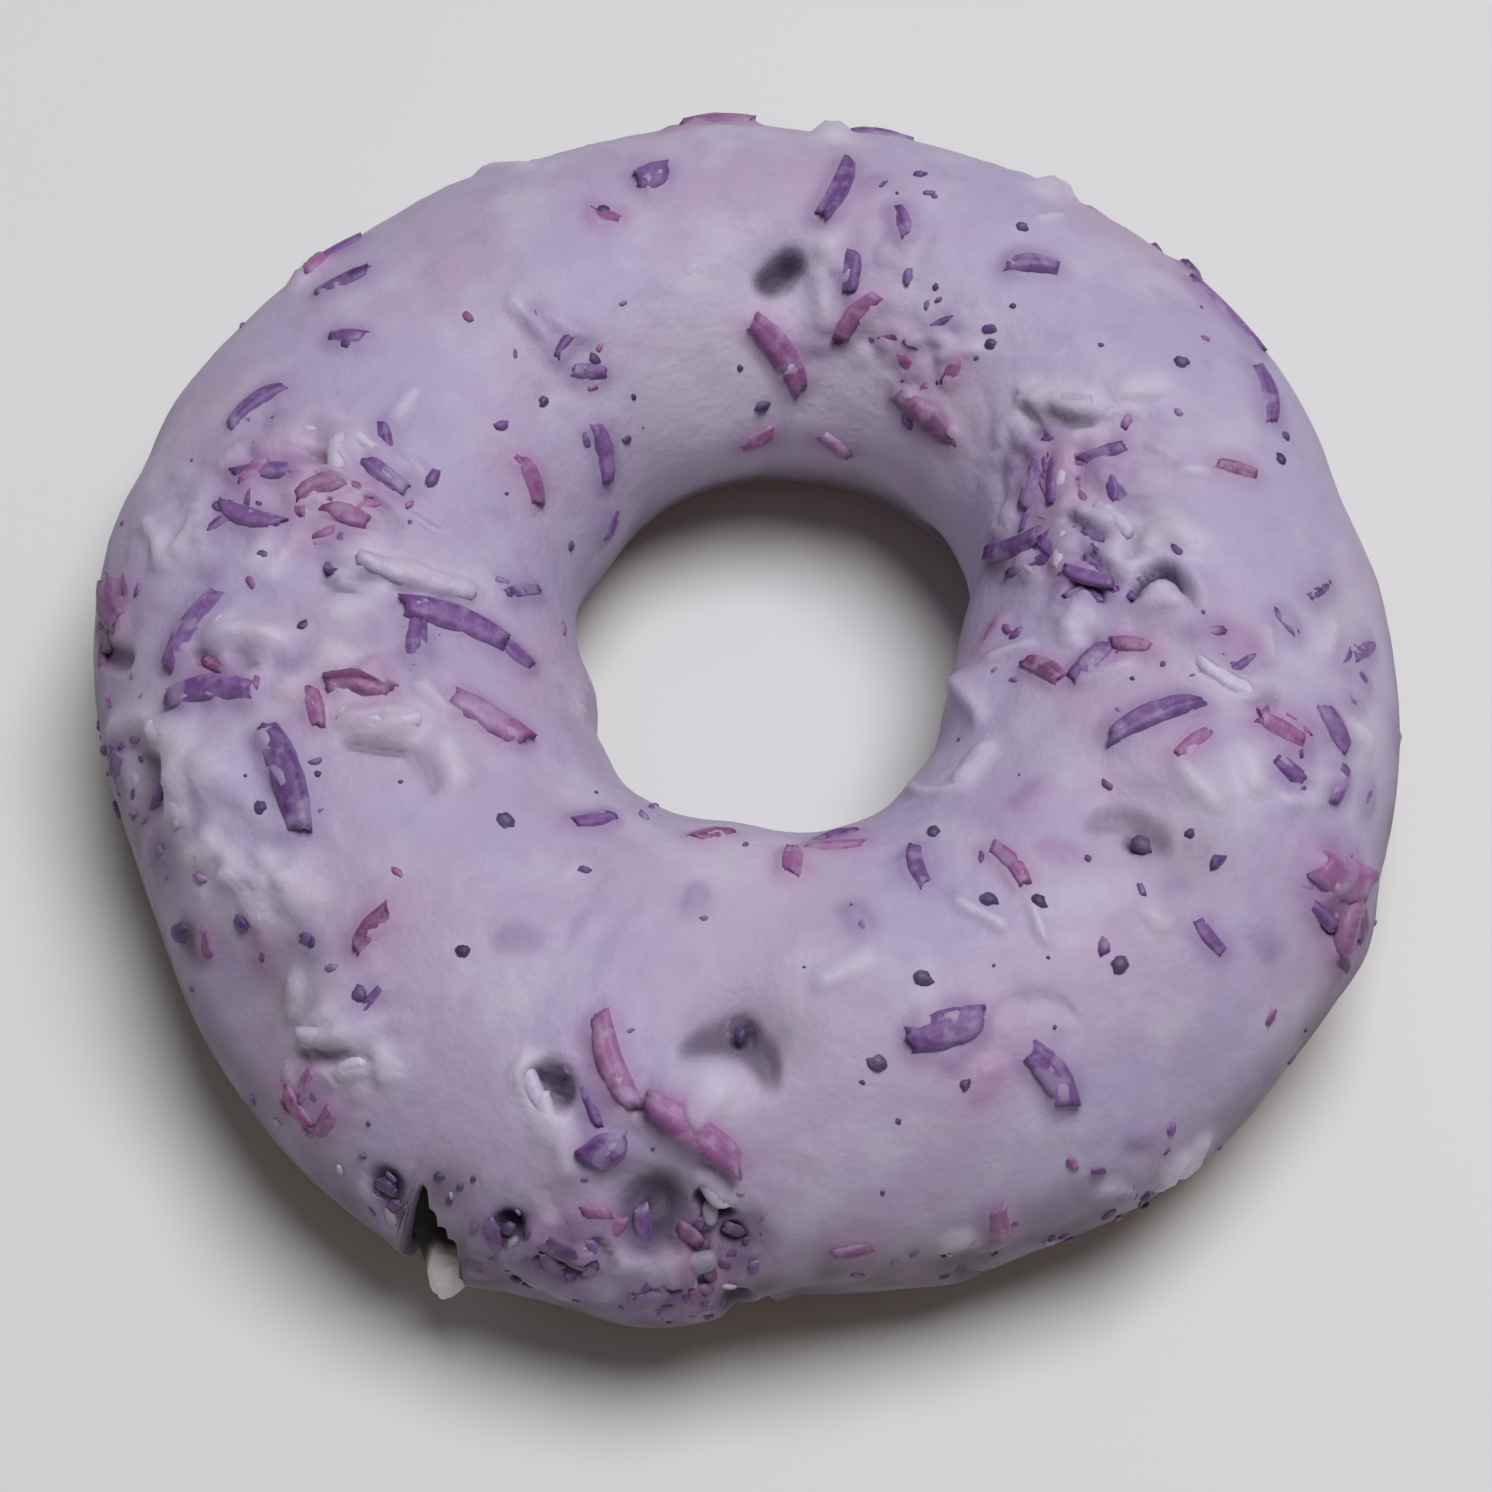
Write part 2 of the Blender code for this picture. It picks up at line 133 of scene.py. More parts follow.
PINK_CURLS = (
    (84, 142, -60, 6.5, 2), (72, 127, 60, 4.2, 1.4), (88, 170, 30, 2.5, 1.4), (72, 172, -45, 2.8, 1.4),
    (54, 148, 0, 5.8, 2.2), (54, 131, 90, 2, 1.3), (108, 87, -45, 2, 1.2), (143, 134, 55, 3.5, 1.4),
    (164, 87, -55, 3.2, 1.6), (167, 94, 70, 3, 1.6), (176, 31, 25, 4.5, 2.3), (195, 93, 65, 4.4, 2),
    (206, 120, 45, 5.8, 2.1), (17, 74, 70, 2.8, 1.2), (348, 125, 60, 3.6, 1.5), (345, 66, 80, 3.4, 1.4),
    (335, 37, -70, 5.5, 3), (332, 26, 25, 4.5, 2.2), (262, 136, 40, 3, 1.3), (289, 131, -10, 3.8, 1.3),
    (311, 102, 88, 3.8, 1.2), (225, 71, -80, 3.3, 1.4), (229, 24, -20, 2.8, 1.4), (232, 27, 85, 2.8, 1.2),
    (256, 71, -60, 6.5, 1.8), (265, 57, -35, 7.2, 2.2), (279, 18, 0, 2.4, 1.3), (292, 15, -85, 3.4, 1.4),
)
PALE_CURLS = (
    (157, 80, -60, 4.8, 1.4), (156, 97, 70, 4.8, 1.3), (175, 110, 75, 8, 1.7), (201, 95, 65, 5.2, 1.7),
    (193, 46, 40, 5.2, 1.7), (199, 45, -15, 4, 1.7), (37, 113, 50, 5.4, 1.5), (31, 90, 80, 3.2, 1.3),
    (14, 108, 40, 3.4, 1.5), (349, 79, 70, 5.6, 1.5), (267, 42, -65, 2.8, 1.4), (251, 56, -55, 3, 1.4),
    (229, 48, 45, 4.8, 1.4),
)
# The far rim's curls are drawn by chance
FAR_CURLS = 20
FAR_ROUND = (42, 150)
FAR_LIMITS = ((-10, 46), (-90, 90), (2.2, 5.5), (1.1, 2))  # of over, turn, length and width

CURL_BOW = 0.09  # most sideways bow, as a share of the length
CURL_SAG = 0.011  # how far the ends bend down with the ring, times the length in mm
CURL_SEED = 11

# ---------------------------------------------------------------- finer things, for the looks alone

# Where curls and crumbs crowd and the icing is rough over them: round, over, reach in mm, strength
ROUGH_PATCHES = (
    (169, 54, 4.8, 0.8), (162, 80, 5.5, 1), (173, 99, 5.5, 0.8), (187, 75, 5.5, 1), (194, 98, 4.8, 0.7),
    (210, 55, 5.5, 1), (199, 51, 4.8, 0.7), (230, 47, 4.8, 0.9), (33, 125, 4.8, 0.9), (15, 112, 5.5, 1),
    (2, 118, 4.1, 0.8), (360, 97, 4.1, 0.9), (327, 81, 4.8, 0.4), (247, 105, 5.5, 0.4),
    (304, 113, 5.5, 0.4), (313, 105, 4.1, 0.5), (254, 24, 4.1, 1), (265, 28, 4.8, 0.9), (259, 61, 5.5, 0.7),
    (340, 57, 4.8, 0.7), (298, 72, 4.1, 0.4), (73, 101, 4.1, 0.5), (64, 134, 4.8, 0.7),
    (123, 122, 4.1, 0.4), (348, 77, 4.1, 0.7), (304, 10, 4.1, 0.7), (60, 20, 6, 0.6), (110, 15, 6, 0.7),
)
# The same at the rim
RIM_PATCHES = (
    (249, 10, 2.2, 1), (254, 12, 2.6, 1), (259, 8, 2.4, 1), (264, 8, 2.6, 1), (267, 18, 2, 1),
    (240, 16, 1.6, 1), (229, 24, 2.2, 1), (304, 6, 3, 1), (190, 17, 2.6, 1), (177, 28, 2.4, 1),
    (333, 26, 2.2, 1), (290, 6, 2.6, 1),
)
# Curls and lumps that the icing covers: round, over, turn, length and width in mm, bow as a share of length
COVERED = (
    (185, 74, 62, 6.6, 2.3, -0.12), (186, 63, 49, 4.2, 0.9, -0.03), (184, 94, 36, 4.8, 3.6, -0.1),
    (212, 106, -8, 4.7, 2.3, -0.08), (195.6, 44, 5, 8.5, 3.4, -0.22), (199, 55, -4, 4.1, 3, -0.12),
    (208, 50, 49, 3.8, 1.2, -0.22), (211, 52, 49, 3.8, 1.1, -0.13), (212, 60, 10, 3.2, 1, 0.03),
    (228, 49, 42, 4.5, 1.9, -0.14), (227, 29, -39, 1.7, 0.9, 0.12), (230, 38, 9, 2.4, 0.9, -0.19),
    (253, 50, -68, 4.2, 1.6, -0.02), (258, 59, 13, 2.3, 1, -0.16), (26, 145, 68, 3.2, 1, 0.09),
    (20, 123, -88, 1.6, 0.9, -0.18), (359, 97, 78, 3.4, 2.3, 0.2), (342, 52, -65, 5.2, 1.2, -0.1),
    (339, 56, -64, 4, 1, 0.08), (156, 85, -84, 5.4, 1.1, 0.2), (158, 99, 52, 4.6, 0.7, -0.1),
    (171, 47, 26, 5.1, 1.5, -0.05), (29, 97, 68, 3, 0.8, 0.19), (60, 127, 27, 3.6, 1, 0.13),
    (344, 150, 49, 6.8, 1.4, 0.09), (317, 143, -81, 6.5, 1, 0.19), (291, 6, -31, 3.2, 0.8, 0.18),
    (302, 12, -30, 3.3, 0.9, -0.25), (254, 28, 13, 2, 0.8, -0.4), (264, 18, -3, 3.5, 1.1, -0.26),
    (188.4, 30, 70, 6, 2, -0.09), (259, 20, 10, 3.4, 2, -0.1),
)
# Creases and hollows beside them, in the same terms and with a depth in mm
CREASES = (
    (177, 92, 37, 3.2, 0.6, 0.2, 0.55), (177, 101, 77, 3.4, 0.7, -0.19, 0.45),
    (205, 92, 60, 3.9, 0.6, 0.04, 0.6), (211, 99, 9, 3.6, 0.7, -0.1, 0.45),
    (194.2, 33, 14, 5, 0.8, -0.24, 0.35), (230, 43, 39, 5.5, 0.8, -0.05, 0.5),
    (2, 96, 87, 3.9, 1.15, 0.47, 1.15), (3, 116, 76, 2.7, 0.6, 0.46, 0.7),
    (6, 112, 38, 3.5, 0.5, 0.11, 0.6), (36, 122, 8, 3.3, 0.6, -0.01, 0.5),
    (33, 112, 47, 3.4, 0.7, -0.11, 0.6), (349, 82, 69, 3.6, 0.6, -0.06, 0.6),
    (14, 114, 43, 3.7, 0.5, -0.02, 0.55), (9, 103, -15, 2.3, 0.5, 0.06, 0.45),
    (160, 87, 77, 2.9, 0.6, -0.1, 0.5), (250.3, 62.5, -29, 2.9, 1.1, -0.07, 1),
    (267, 36, -47, 2.8, 0.9, 0.12, 0.9), (268.8, 75, -24, 5.8, 1.8, -0.26, 0.65),
    (269, 81, -18, 2, 0.8, -0.2, 0.5), (326, 90, -76, 5, 1.2, -0.21, 0.5),
    (21, 93, 40, 3.6, 0.5, -0.05, 0.35), (156, 107, 46, 3.3, 0.6, -0.19, 0.35),
    (164, 111, 70, 2.3, 0.5, 0.04, 0.3), (353, 113, 41, 2.5, 0.4, -0.11, 0.4),
    (258, 23, -49, 2.2, 0.6, -0.01, 0.5), (85, 115, 42, 3.3, 1.5, -0.02, 1.2),
    (84, 112, -1, 2.2, 0.8, 0.19, 0.6), (332, 27, -67, 5, 1, 0.05, 0.7), (181, 29, 54, 4.5, 1.1, 0.05, 0.6),
    (186, 62, 45, 2.4, 0.6, 0.03, 0.6), (188, 71, 39, 1.8, 0.6, 0.04, 0.5),
    (165, 101, 59, 3.5, 0.6, -0.12, 0.4), (250, 22, -72, 2.1, 0.8, -0.24, 0.6),
    (256, 16, 8, 2.7, 0.8, 0.4, 0.6), (266, 19, -84, 5.4, 0.8, -0.12, 0.5),
    (290, -12, -53, 4.9, 0.8, 0.19, 0.6), (306, -3, -20, 2, 0.8, 0.29, 0.8),
    (302, 70, -25, 4.8, 1.1, -0.14, 0.3), (176, 89, 12, 3.9, 0.6, 0.22, 0.3),
    (28, 95, 30, 3.8, 0.5, 0.46, 0.35),
)
# Sunk places with steep sides: round, over, reach in mm, depth in mm, and how much painted shade darkens them
PITS = (
    (262, 33.5, 2.5, 0.35, 0.95), (269.4, 80.4, 1.1, 0.7, 1), (325, 87, 0.9, 0.6, 0.8),
    (85, 116, 1.2, 0.6, 0.8), (250, 24, 1.2, 0.8, 1), (269, 3, 1.2, 0.9, 1), (269, 26, 0.9, 0.7, 0.9),
    (267, 32, 0.8, 0.7, 0.9), (250.3, 63, 1.4, 0.9, 1), (239, 21, 1.3, 0.6, 1), (194.8, 28, 2.3, 0.3, 0.1),
    (240.5, 13, 1, 0.4, 0.7),
)
# Where the icing lies thin and the crust darkens it, with the same dark also laid on as painted shade: round,
# over, reach in mm, strength
THIN_AND_SHADED_PLACES = (
    (194, 25, 2.6, 0.6), (190, 15, 2.2, 0.7), (203, 26, 3.2, 0.6), (197, 10, 3, 0.7), (219, 38, 5, 0.4),
    (262, 40, 2, 0.6), (253, 12, 4.4, 1), (279, 14, 3, 0.5), (268, 18, 2.2, 0.9), (266, 34, 1.4, 0.7),
    (240, 18, 2, 0.8), (248, 9, 3.6, 1), (178, 27, 2.8, 1), (333, 26, 2.2, 0.4), (36, 118, 1.8, 0.4),
    (250, 22, 1.8, 0.8), (266, 19, 2.8, 1), (269.5, 24, 2.2, 0.9), (278, 8, 3.8, 0.8), (265, 8, 3, 0.7),
    (210.5, 24, 1.8, 1), (20, 148, 1.8, 0.7), (271.6, 7, 2.4, 0.8), (244.2, 28, 2.2, 0.6),
    (273.3, 77, 2.2, 0.4), (327, 76, 2.6, 0.4), (266, 77, 1.8, 0.3), (1.5, 50, 2.6, 0.4),
    (11.8, 99, 2, 0.4), (14.2, 137, 2, 0.4), (44, 186, 3, 0.5), (96, 190, 3, 0.5), (12, 170, 3, 0.4),
)
# Where it ran together thick and pale, and, on the far wall of the hole, painted light that brightens it, in
# the same terms
THICK_AND_LIT_PLACES = (
    (70, 148, 6, 0.9), (86, 146, 6.5, 1), (102, 148, 6, 0.8), (52, 150, 5, 0.7), (118, 140, 5, 0.5),
    (259, 19, 2, 0.7), (270, 128, 6, 0.5), (357, 50, 6, 0.4), (350, 36, 4, 0.4), (63, 158, 5, 0.9),
    (78, 162, 5, 0.9), (94, 162, 5, 0.9), (309, 2, 2.4, 1), (228, 37, 1.8, 0.8), (208.7, 44, 2.5, 0.7),
    (267.3, 65, 2.4, 0.7), (216, 59, 3, 0.6), (229.5, 51, 2, 0.6), (61, 122, 4, 0.6), (193.2, 42, 2.4, 0.9),
)
# Where no bits are strewn on it, in the same terms
BARE_PLACES = (
    (269, 82, 3.5, 1), (295.6, 82, 2, 1), (313, 122, 3.5, 1), (332.7, 9, 2.5, 1), (215, 60, 3, 1),
    (317.2, 107, 2.5, 1), (324, 91, 3, 1), (233.5, 71, 2.5, 1), (241.5, 49, 2.5, 1), (231, 52, 2, 1),
)
# Where the curls' colours ran together into the icing, in the same terms
STAINED_PLACES = {
    "violet": (
        (28, 126, 2.6, 1), (15, 135, 2.4, 1), (5, 115, 2.2, 0.7), (160, 68, 3, 0.9), (169, 74, 2.2, 0.6),
        (186, 58, 3, 0.6), (264, 8, 2.2, 1), (254, 16, 2, 0.8), (230, 30, 1.6, 0.6),
    ),
    "pink": (
        (24, 120, 2.4, 0.8), (162, 84, 3.2, 1), (167, 92, 2.6, 0.7), (334, 32, 3, 1), (178, 27, 3, 1),
        (258, 30, 2.6, 0.8), (228, 23, 2, 1), (212, 30, 1.4, 1), (200, 95, 2.2, 0.6), (345, 66, 2, 0.7),
        (318, 116, 2.8, 0.6),
    ),
}
# Slivers shaved off the curls, in the same terms as the curls
VIOLET_SLIVERS = (
    (13.3, 133.6, -88, 4.4, 1), (7, 114, 38, 2, 0.6), (3.5, 110, 36, 1.8, 0.6), (3.3, 119, -73, 1.6, 0.7),
    (2, 114, 46, 1.5, 0.6), (25, 110, -34, 1.8, 0.8), (20, 107, 8, 2.7, 0.9), (17, 128, -60, 2.4, 0.7),
    (152.5, 66, -77, 1.5, 0.8), (154.6, 65, -80, 1, 0.7), (157, 62.6, -84, 1.3, 0.8),
    (156, 72, -78, 1.1, 0.8), (159.6, 70, -83, 1, 0.8), (168.5, 70, 46, 3, 0.8), (159.5, 99, 60, 2.9, 0.9),
    (356, 46, -28, 2.1, 0.9), (358.7, 38, -60, 2.6, 0.7), (355, 40, 69, 1.2, 1), (344, 33, -22, 2.1, 0.9),
    (332, 45, -38, 1.2, 0.9), (331, 37, -85, 2.6, 1.1), (254, 15, -63, 2.6, 1.1), (261.6, 11, 62, 1.9, 1),
    (263.5, 8, 52, 1.7, 1.2), (230, 31, -38, 1.3, 1), (24, 134, -30, 2.6, 0.8), (32, 121, -15, 2, 0.7),
    (10, 120, 70, 1.6, 0.6),
)
PINK_SLIVERS = (
    (27.5, 126, 8, 3.2, 0.9), (163, 84.5, -25, 2, 0.9), (162.4, 95, 62, 2.4, 0.9), (165, 97, -48, 2.2, 0.8),
    (345, 66.5, 80, 3.1, 1), (346.6, 61, 68, 2.2, 0.8), (228, 24, -34, 2, 1.1), (230, 20.5, -61, 1.8, 1.1),
    (212, 30, -30, 2, 1.2), (253, 27, -41, 1.3, 0.8), (265.5, 24, -75, 2.3, 0.8), (266, 7.4, -68, 2.4, 0.9),
    (161, 80, 40, 1.8, 0.8), (165, 88, 75, 1.8, 0.7), (21, 117, 40, 1.9, 0.8), (22, 128, 60, 1.7, 0.7),
)
# Bits of curl that crowd along the near rim and at the sides: round, over, size in mm
VIOLET_BITS = (
    (239, 20, 1.6), (240, 15, 1.4), (250, 18, 1.2), (253, 18, 1.1), (253, 14, 1.7), (252, 9, 1.3),
    (255, 10, 1.4), (257, 23, 1.4), (255, 28, 1.1), (251, 13, 1), (249, 8, 1.1), (258, 12, 1.2),
    (263, 10, 2.2), (265, 8, 2), (263, 4, 1.8), (261, 6, 1.7), (265, 13, 1.3), (267, 2, 1.3), (260, 2, 1.1),
    (257, 5, 1.3), (266, 30, 1.2), (269, 27, 1.6), (269, 19, 1.5), (190, 17, 2.4), (191, 11, 1.6),
    (203, 30, 1.4), (34, 131, 1.3), (30, 124, 1.5), (24, 117, 1.2), (15, 121, 1.4), (11, 113, 1.2),
    (7, 121, 1.3), (164, 70, 1.4), (168, 66, 1.2), (189, 82, 1.2), (186, 98, 1.3), (337, 33, 1.6),
    (333, 20, 1.5), (344, 60, 1.3), (352, 44, 1.4), (248, 3, 1.2),
)
PINK_BITS = (
    (257, 34, 2), (259, 30, 1.6), (265, 28, 1.9), (266, 22, 1.8), (255, 31, 1.3), (256, 17, 1.4),
    (254, 22, 1.3), (267, 14, 1.6), (263, 1, 1.3), (176, 31, 2.6), (179, 28, 2.2), (175, 36, 1.8),
    (177, 24, 2.1), (180, 22, 1.6), (336, 27, 2), (331, 33, 1.8), (334, 38, 1.4), (334, 20, 2),
    (170, 90, 1.8), (167, 84, 1.6), (172, 86, 1.4), (61, 137, 1.8), (66, 131, 1.6), (57, 142, 1.4),
    (29, 118, 1.4), (21, 128, 1.3), (193, 97, 1.5), (198, 92, 1.3),
)
PALE_BITS = (
    (252, 21, 1.3), (253, 27, 1.4), (251, 10, 1.1), (253, 6, 1.2), (267, 33, 1.7), (258, 8, 1.2),
    (255, 3, 1.2), (240, 10, 1.6), (238, 15, 1.4), (248, 13, 1.2), (262, 17, 1.4), (193, 80, 1.6),
    (190, 90, 1.5), (183, 66, 1.7), (165, 84, 1.8), (160, 73, 1.5), (172, 96, 1.5), (28, 110, 1.7),
    (22, 121, 1.5), (9, 109, 1.6), (17, 113, 1.4), (36, 127, 1.5), (5, 104, 1.4), (206, 47, 1.8),
    (214, 50, 1.6), (232, 45, 1.8), (341, 52, 1.5), (288, 11, 1.6), (310, -2, 1.8), (309, 4, 1.9),
    (310.5, 6, 1.3), (307.3, 1, 1.5),
)
# Dark specks of berry: round, over, size in mm
SPECKS = (
    (226, 109, 1.4), (235, 81, 1.1), (174, 77, 1.4), (184, 85, 1), (187, 97, 1), (87, 159, 1.2),
    (51, 117, 1), (307, 124, 1.1), (305, 97, 1.3), (292, 85, 1.4), (312, 69, 1.4), (292, 58, 0.9),
    (319, 92, 0.6), (310, 91, 1.2), (229, 59, 1.4), (239, 21, 1.5), (250, 24, 1.2), (305, 2, 1.1),
    (306, -14, 1.1), (329, 78, 0.8), (57, 79, 1), (32, 76, 1.2), (118, 124, 1.1), (117, 151, 0.8),
    (21, 52, 0.8), (18, 58, 1), (269.4, 80, 1.2), (325, 86, 1.6), (284, 68, 1.4), (206, 64, 1.1),
    (74, 136, 1), (209, 22, 1.8), (321, 60, 1.1), (221, 58, 1.1), (130, 124, 0.9), (143, 160, 0.8),
    (169, 139, 1.2), (144, 76, 1), (108, 85, 1.2), (243.2, 32, 0.8), (245.2, 31.5, 0.6), (246.1, 35, 0.5),
    (244.6, 26, 0.6),
)

# How fine the meshes of the coat and the dough are
CROWDING = 0.62  # how much closer the sections stand at the gaps
CROWD_REACH = 9  # degrees
COAT_ROUND = 700  # sections round the coat
COAT_OVER = 104  # faces over its outside
COAT_UNDER = 24  # and back underneath
# The coat's columns stand closer together over the top: shares of their number, and of the way over
COLUMN_NUMBERS = (0, 0.12, 0.84, 1)
COLUMN_PLACES = (0, 0.16, 0.74, 1)
EDGE_HOLD = 3  # how soon over the coat its columns stop following the wandering edge
LIP = 2.5  # how far the icing's rounded edge stands past its end, in degrees over
LIP_STEPS = 5
DOUGH_TOP = ICING + GAP  # how deep under the icing's surface the dough starts
COAT_BOTTOM = ICING + 0.9 * GAP  # and the coat ends, just clear of it
DOUGH_ROUND = 480  # sections round the dough
DOUGH_SEAT = 60  # faces over it under the icing
DOUGH_BASE = 60  # and over its bare base
SEAT_CROWDING = 1.5  # how much closer its columns stand at the rim

# Unevenness: height and size in mm, and where its pattern starts, so that none follows another
CRUST_WAVES = (0.13, 4, 0)
CRUST_CRACKS = (0.16, 2.2, 7)
COAT_SWELLS = (0.1, 7, 0)
COAT_LOBES = (1, 3.2, 11)  # in the rough patches
LOBE_SINK = 0.15  # mm by which they start below the smooth icing
COAT_CRUMBS = (1, 1.4, 23)
CRUMB_HEIGHTS = (0.04, 0.12)  # all over, and what the rough patches add
THIN_AND_SHADE_DRIFT = (0.3, 3, 41)  # of the icing's thinness and painted shade, as a share of it
SMEARY = (1, 1.7, 31)  # of the smears over the curls
SMEAR_RANGE = (-0.12, 0.28)  # where in that pattern they begin and are whole
PALE_LEAST = 0.72  # how whole they are at least over the pale curls
GRAIN_KIND = (1.0, 2.0, 2)  # fall in strength, step in size and number of layers of every such pattern

BARE_FADE = 12  # degrees past the icing's edge over which the crust turns wrinkled
TOOTH_ROUND = (242.9, 243.4)  # angles between which the torn crumb starts that sticks out of the first gap
TOOTH_OVER = (1, -2)
TEAR_REACH = (4.84, 2.64)  # degrees round from it at which the tear's colours end, and are full
TORN_OVER = (-55, -25)  # over angles between which its pale crumb begins, lightened to near white as painted light in the overhang's shade
CREVICE_SHADOW_OVER = (-26, -20)  # and the painted shadow in the crevice beside it

THIN_AND_SHADED_RIM = (26, 0)  # over angles between which the icing runs thin towards the rim, and painted shade darkens it
THIN_AND_SHADED_HOLE = (180, 200)  # and towards its end in the hole, with painted shade there too
THIN_AND_SHADE_AT_RIM = 0.8  # how thin and shaded it gets at the rim, where 1 shows the crust and the painted shade the most
DEEPEST = 1.15  # most that a hollow takes off the icing's thickness, in mm

COVER_REACH = 0.55  # half the reach of the icing over a covered curl, as a share of its width
COVER_RISE = 0.48  # and its height over one that is 1 mm wide, in mm
# How high it climbs each kind of curl, in mm, and how high and far it smears over it, as shares of its width
CLIMBS = {"violet": (0.25, 0.42, 0.5), "pink": (0.25, 0.42, 0.5), "pale": (0.45, 0.56, 0.62)}
CREEP_REACH = 0.45  # how far from a curl the icing starts to climb it, in mm
BLEED_REACH = 0.9  # how far the curls' colour runs into the wet icing, in mm
CREASE_REACH = 0.7  # half the reach of a crease, as a share of its width
CREASE_SHADE_DEPTHS = (0.3, 0.8)  # depths in mm at which painted shade starts to darken a crease, and darkens it fully
THIN_AND_SHADE_DULLS = 0.6  # how much of a covered curl's paleness the thin icing and painted shade take away
STEEP = 4  # makes smears, creases and pits flat in their middle and steep at their sides
NEARBY = 4 * MM  # how far past a curl the icing is looked at

# How a kind of curl or crumb is made
Shape = namedtuple("Shape", (
    "stations", "sides",  # sections along it, and points round each
    "groove", "groove_width",  # depth as a share of the width, and half width in radians
    "unevenness",  # of its skin, as a share of its radius
    "torn", "hollow", "depth",  # raggedness and depth of its ends, and its thickness, as shares of its width
    "lift",  # its middle above the icing, as a share of its thickness
    "taper", "bluntness",  # how much it slims towards its ends, and how late
), defaults=(0.3, 2))
ROLLED = Shape(10, 14, 0.16, 0.5, 0.05, 0.07, 0.25, 0.78, 0.16)
BROKEN = Shape(5, 8, 0.16, 0.7, 0.13, 0.16, 0.12, 0.7, 0.05)
COATED = Shape(12, 14, 0.05, 0.9, 0.05, 0, -0.15, 0.95, -0.04)
CRUMB = Shape(5, 8, 0, 1, 0.16, 0.2, -0.1, 0.8, 0.16)
SPECK = Shape(7, 10, 0, 1, 0.09, 0, -0.03, 0.8, 0.08, 0.72, 4)
BIT_LENGTH = 2.3 * MM  # shorter curls are broken bits
GROOVE_AT = (50, 130)  # where the groove runs, in degrees round a curl
GROOVE_TWIST = (-25, 25)  # and how far it turns towards the ends
SLANT = (-0.5, 0.5)  # how slanted an end is cut

# Bits strewn by chance: how many, lengths in mm, widths as shares of the length, share of them in the patches
SHARDS = {
    "violet": (46, (1.4, 3), (0.3, 0.5), 0.9),
    "pink": (24, (1.4, 3), (0.3, 0.5), 0.9),
    "pale": (30, (1.6, 3.4), (0.35, 0.6), 0.95),
}
CRUMBS = {"violet": (64, (0.4, 1.1), (0.5, 0.9), 0.85), "pink": (36, (0.4, 1.1), (0.5, 0.9), 0.85)}
RIM_CRUMBS = {
    "violet": (60, (0.4, 1), (0.5, 0.9), 1),
    "pink": (40, (0.4, 1), (0.5, 0.9), 1),
    "pale": (12, (0.4, 0.9), (0.5, 0.9), 1),
}
STREWN_SPECKS = (90, (0.2, 0.5), (0.7, 1), 0.6)
STREWN_COVERED = (30, (2.5, 5), (0.22, 0.35), 0.9)
STREWN_OVER = (-12, 165)  # over angles between which those outside the patches lie
PATCH_SPREAD = 0.9  # how far from a patch's middle the others lie, as a share of its reach
EDGE_MARGIN = 8  # degrees over that all of them keep from the icing's edges
BARE_SHARE = 0.4  # a bare place that reaches a bit more strongly than this keeps it off
DEGREES_ROUND_PER_MM = 1.9  # over the crown of the ring
DEGREES_OVER_PER_MM = 4.2
CHANCE_SEED = 29

CAMERA_ELEVATION = 62  # degrees
CAMERA_DISTANCE = 0.3  # metres
PHOTO_SIDE = 1492  # pixels
FOCAL_LENGTH = 4361  # pixels
SENSOR = 36  # mm
RING_ABOVE_CENTRE = 58.6  # pixels from the picture's middle up to the ring's
RING_RIGHT_OF_CENTRE = 0.4
SKY_OFFSET = (0.15, 0.09, 0.765)  # metres from the doughnut to the lamp over it
SKY_SIZE = 0.45  # metres across
SKY_WATTS = 4.9
ROOM_LIGHT = 0.11
FLOOR_SIDE = 3  # metres


# ---------------------------------------------------------------- places on the doughnut

def ramp(values, start, end):
    """0 up to the start, 1 from the end on, and an even rise between them."""
    return np.clip((values - start) / (end - start), 0, 1)


def fade(away, reach, steepness=2):
    """1 at no distance, and nearly nothing at twice this reach."""
    return np.exp(-((away / reach) ** steepness))


def distance(points, place):
    return np.linalg.norm(points - place, axis=-1)


def degrees_from(centre, angle):
    """How far an angle is from this centre the short way round, from -180 to 180."""
    return (angle - centre + 180) % 360 - 180


def wavy(mean, waves, round_deg, scale=1):
    """A size that changes round the ring by a few waves, whose swings are times this scale."""
    for count, swing, crest in waves:
        mean = mean + swing * scale * np.cos(count * np.radians(round_deg - crest))
    return mean


def soft_floor(level):
    """level above zero and flat below, with a rounded change between them."""
    rounded = (level + BASE_SOFTNESS) ** 2 / (4 * BASE_SOFTNESS)
    return np.where(level > BASE_SOFTNESS, level, np.where(level < -BASE_SOFTNESS, 0, rounded))


def ring_point(round_deg, over_deg, depth=0.0):
    """The smooth ring's points, at a depth under the icing."""
    turn, lean = np.radians(round_deg), np.radians(over_deg)
    rim = wavy(RIM_RADIUS, RIM_WAVES, round_deg, MM)
    hole = wavy(HOLE_RADIUS, HOLE_WAVES, round_deg, MM)
    outward, upward = np.cos(lean), np.sin(lean)
    sideways = np.sign(outward) * np.abs(outward) ** FULLNESS
    reach = (rim + hole) / 2 + ((rim - hole) / 2 - depth) * sideways
    top = GIRTH_LEVEL + (HEIGHT - GIRTH_LEVEL - depth) * np.abs(upward) ** FULLNESS
    bottom = GIRTH_LEVEL * soft_floor(1 - BASE_DROP * np.abs(upward))
    level = np.where(upward >= 0, top, bottom)
    return np.stack([reach * np.cos(turn), reach * np.sin(turn), level], axis=-1)


def unit(vectors):
    return vectors / np.linalg.norm(vectors, axis=-1, keepdims=True)


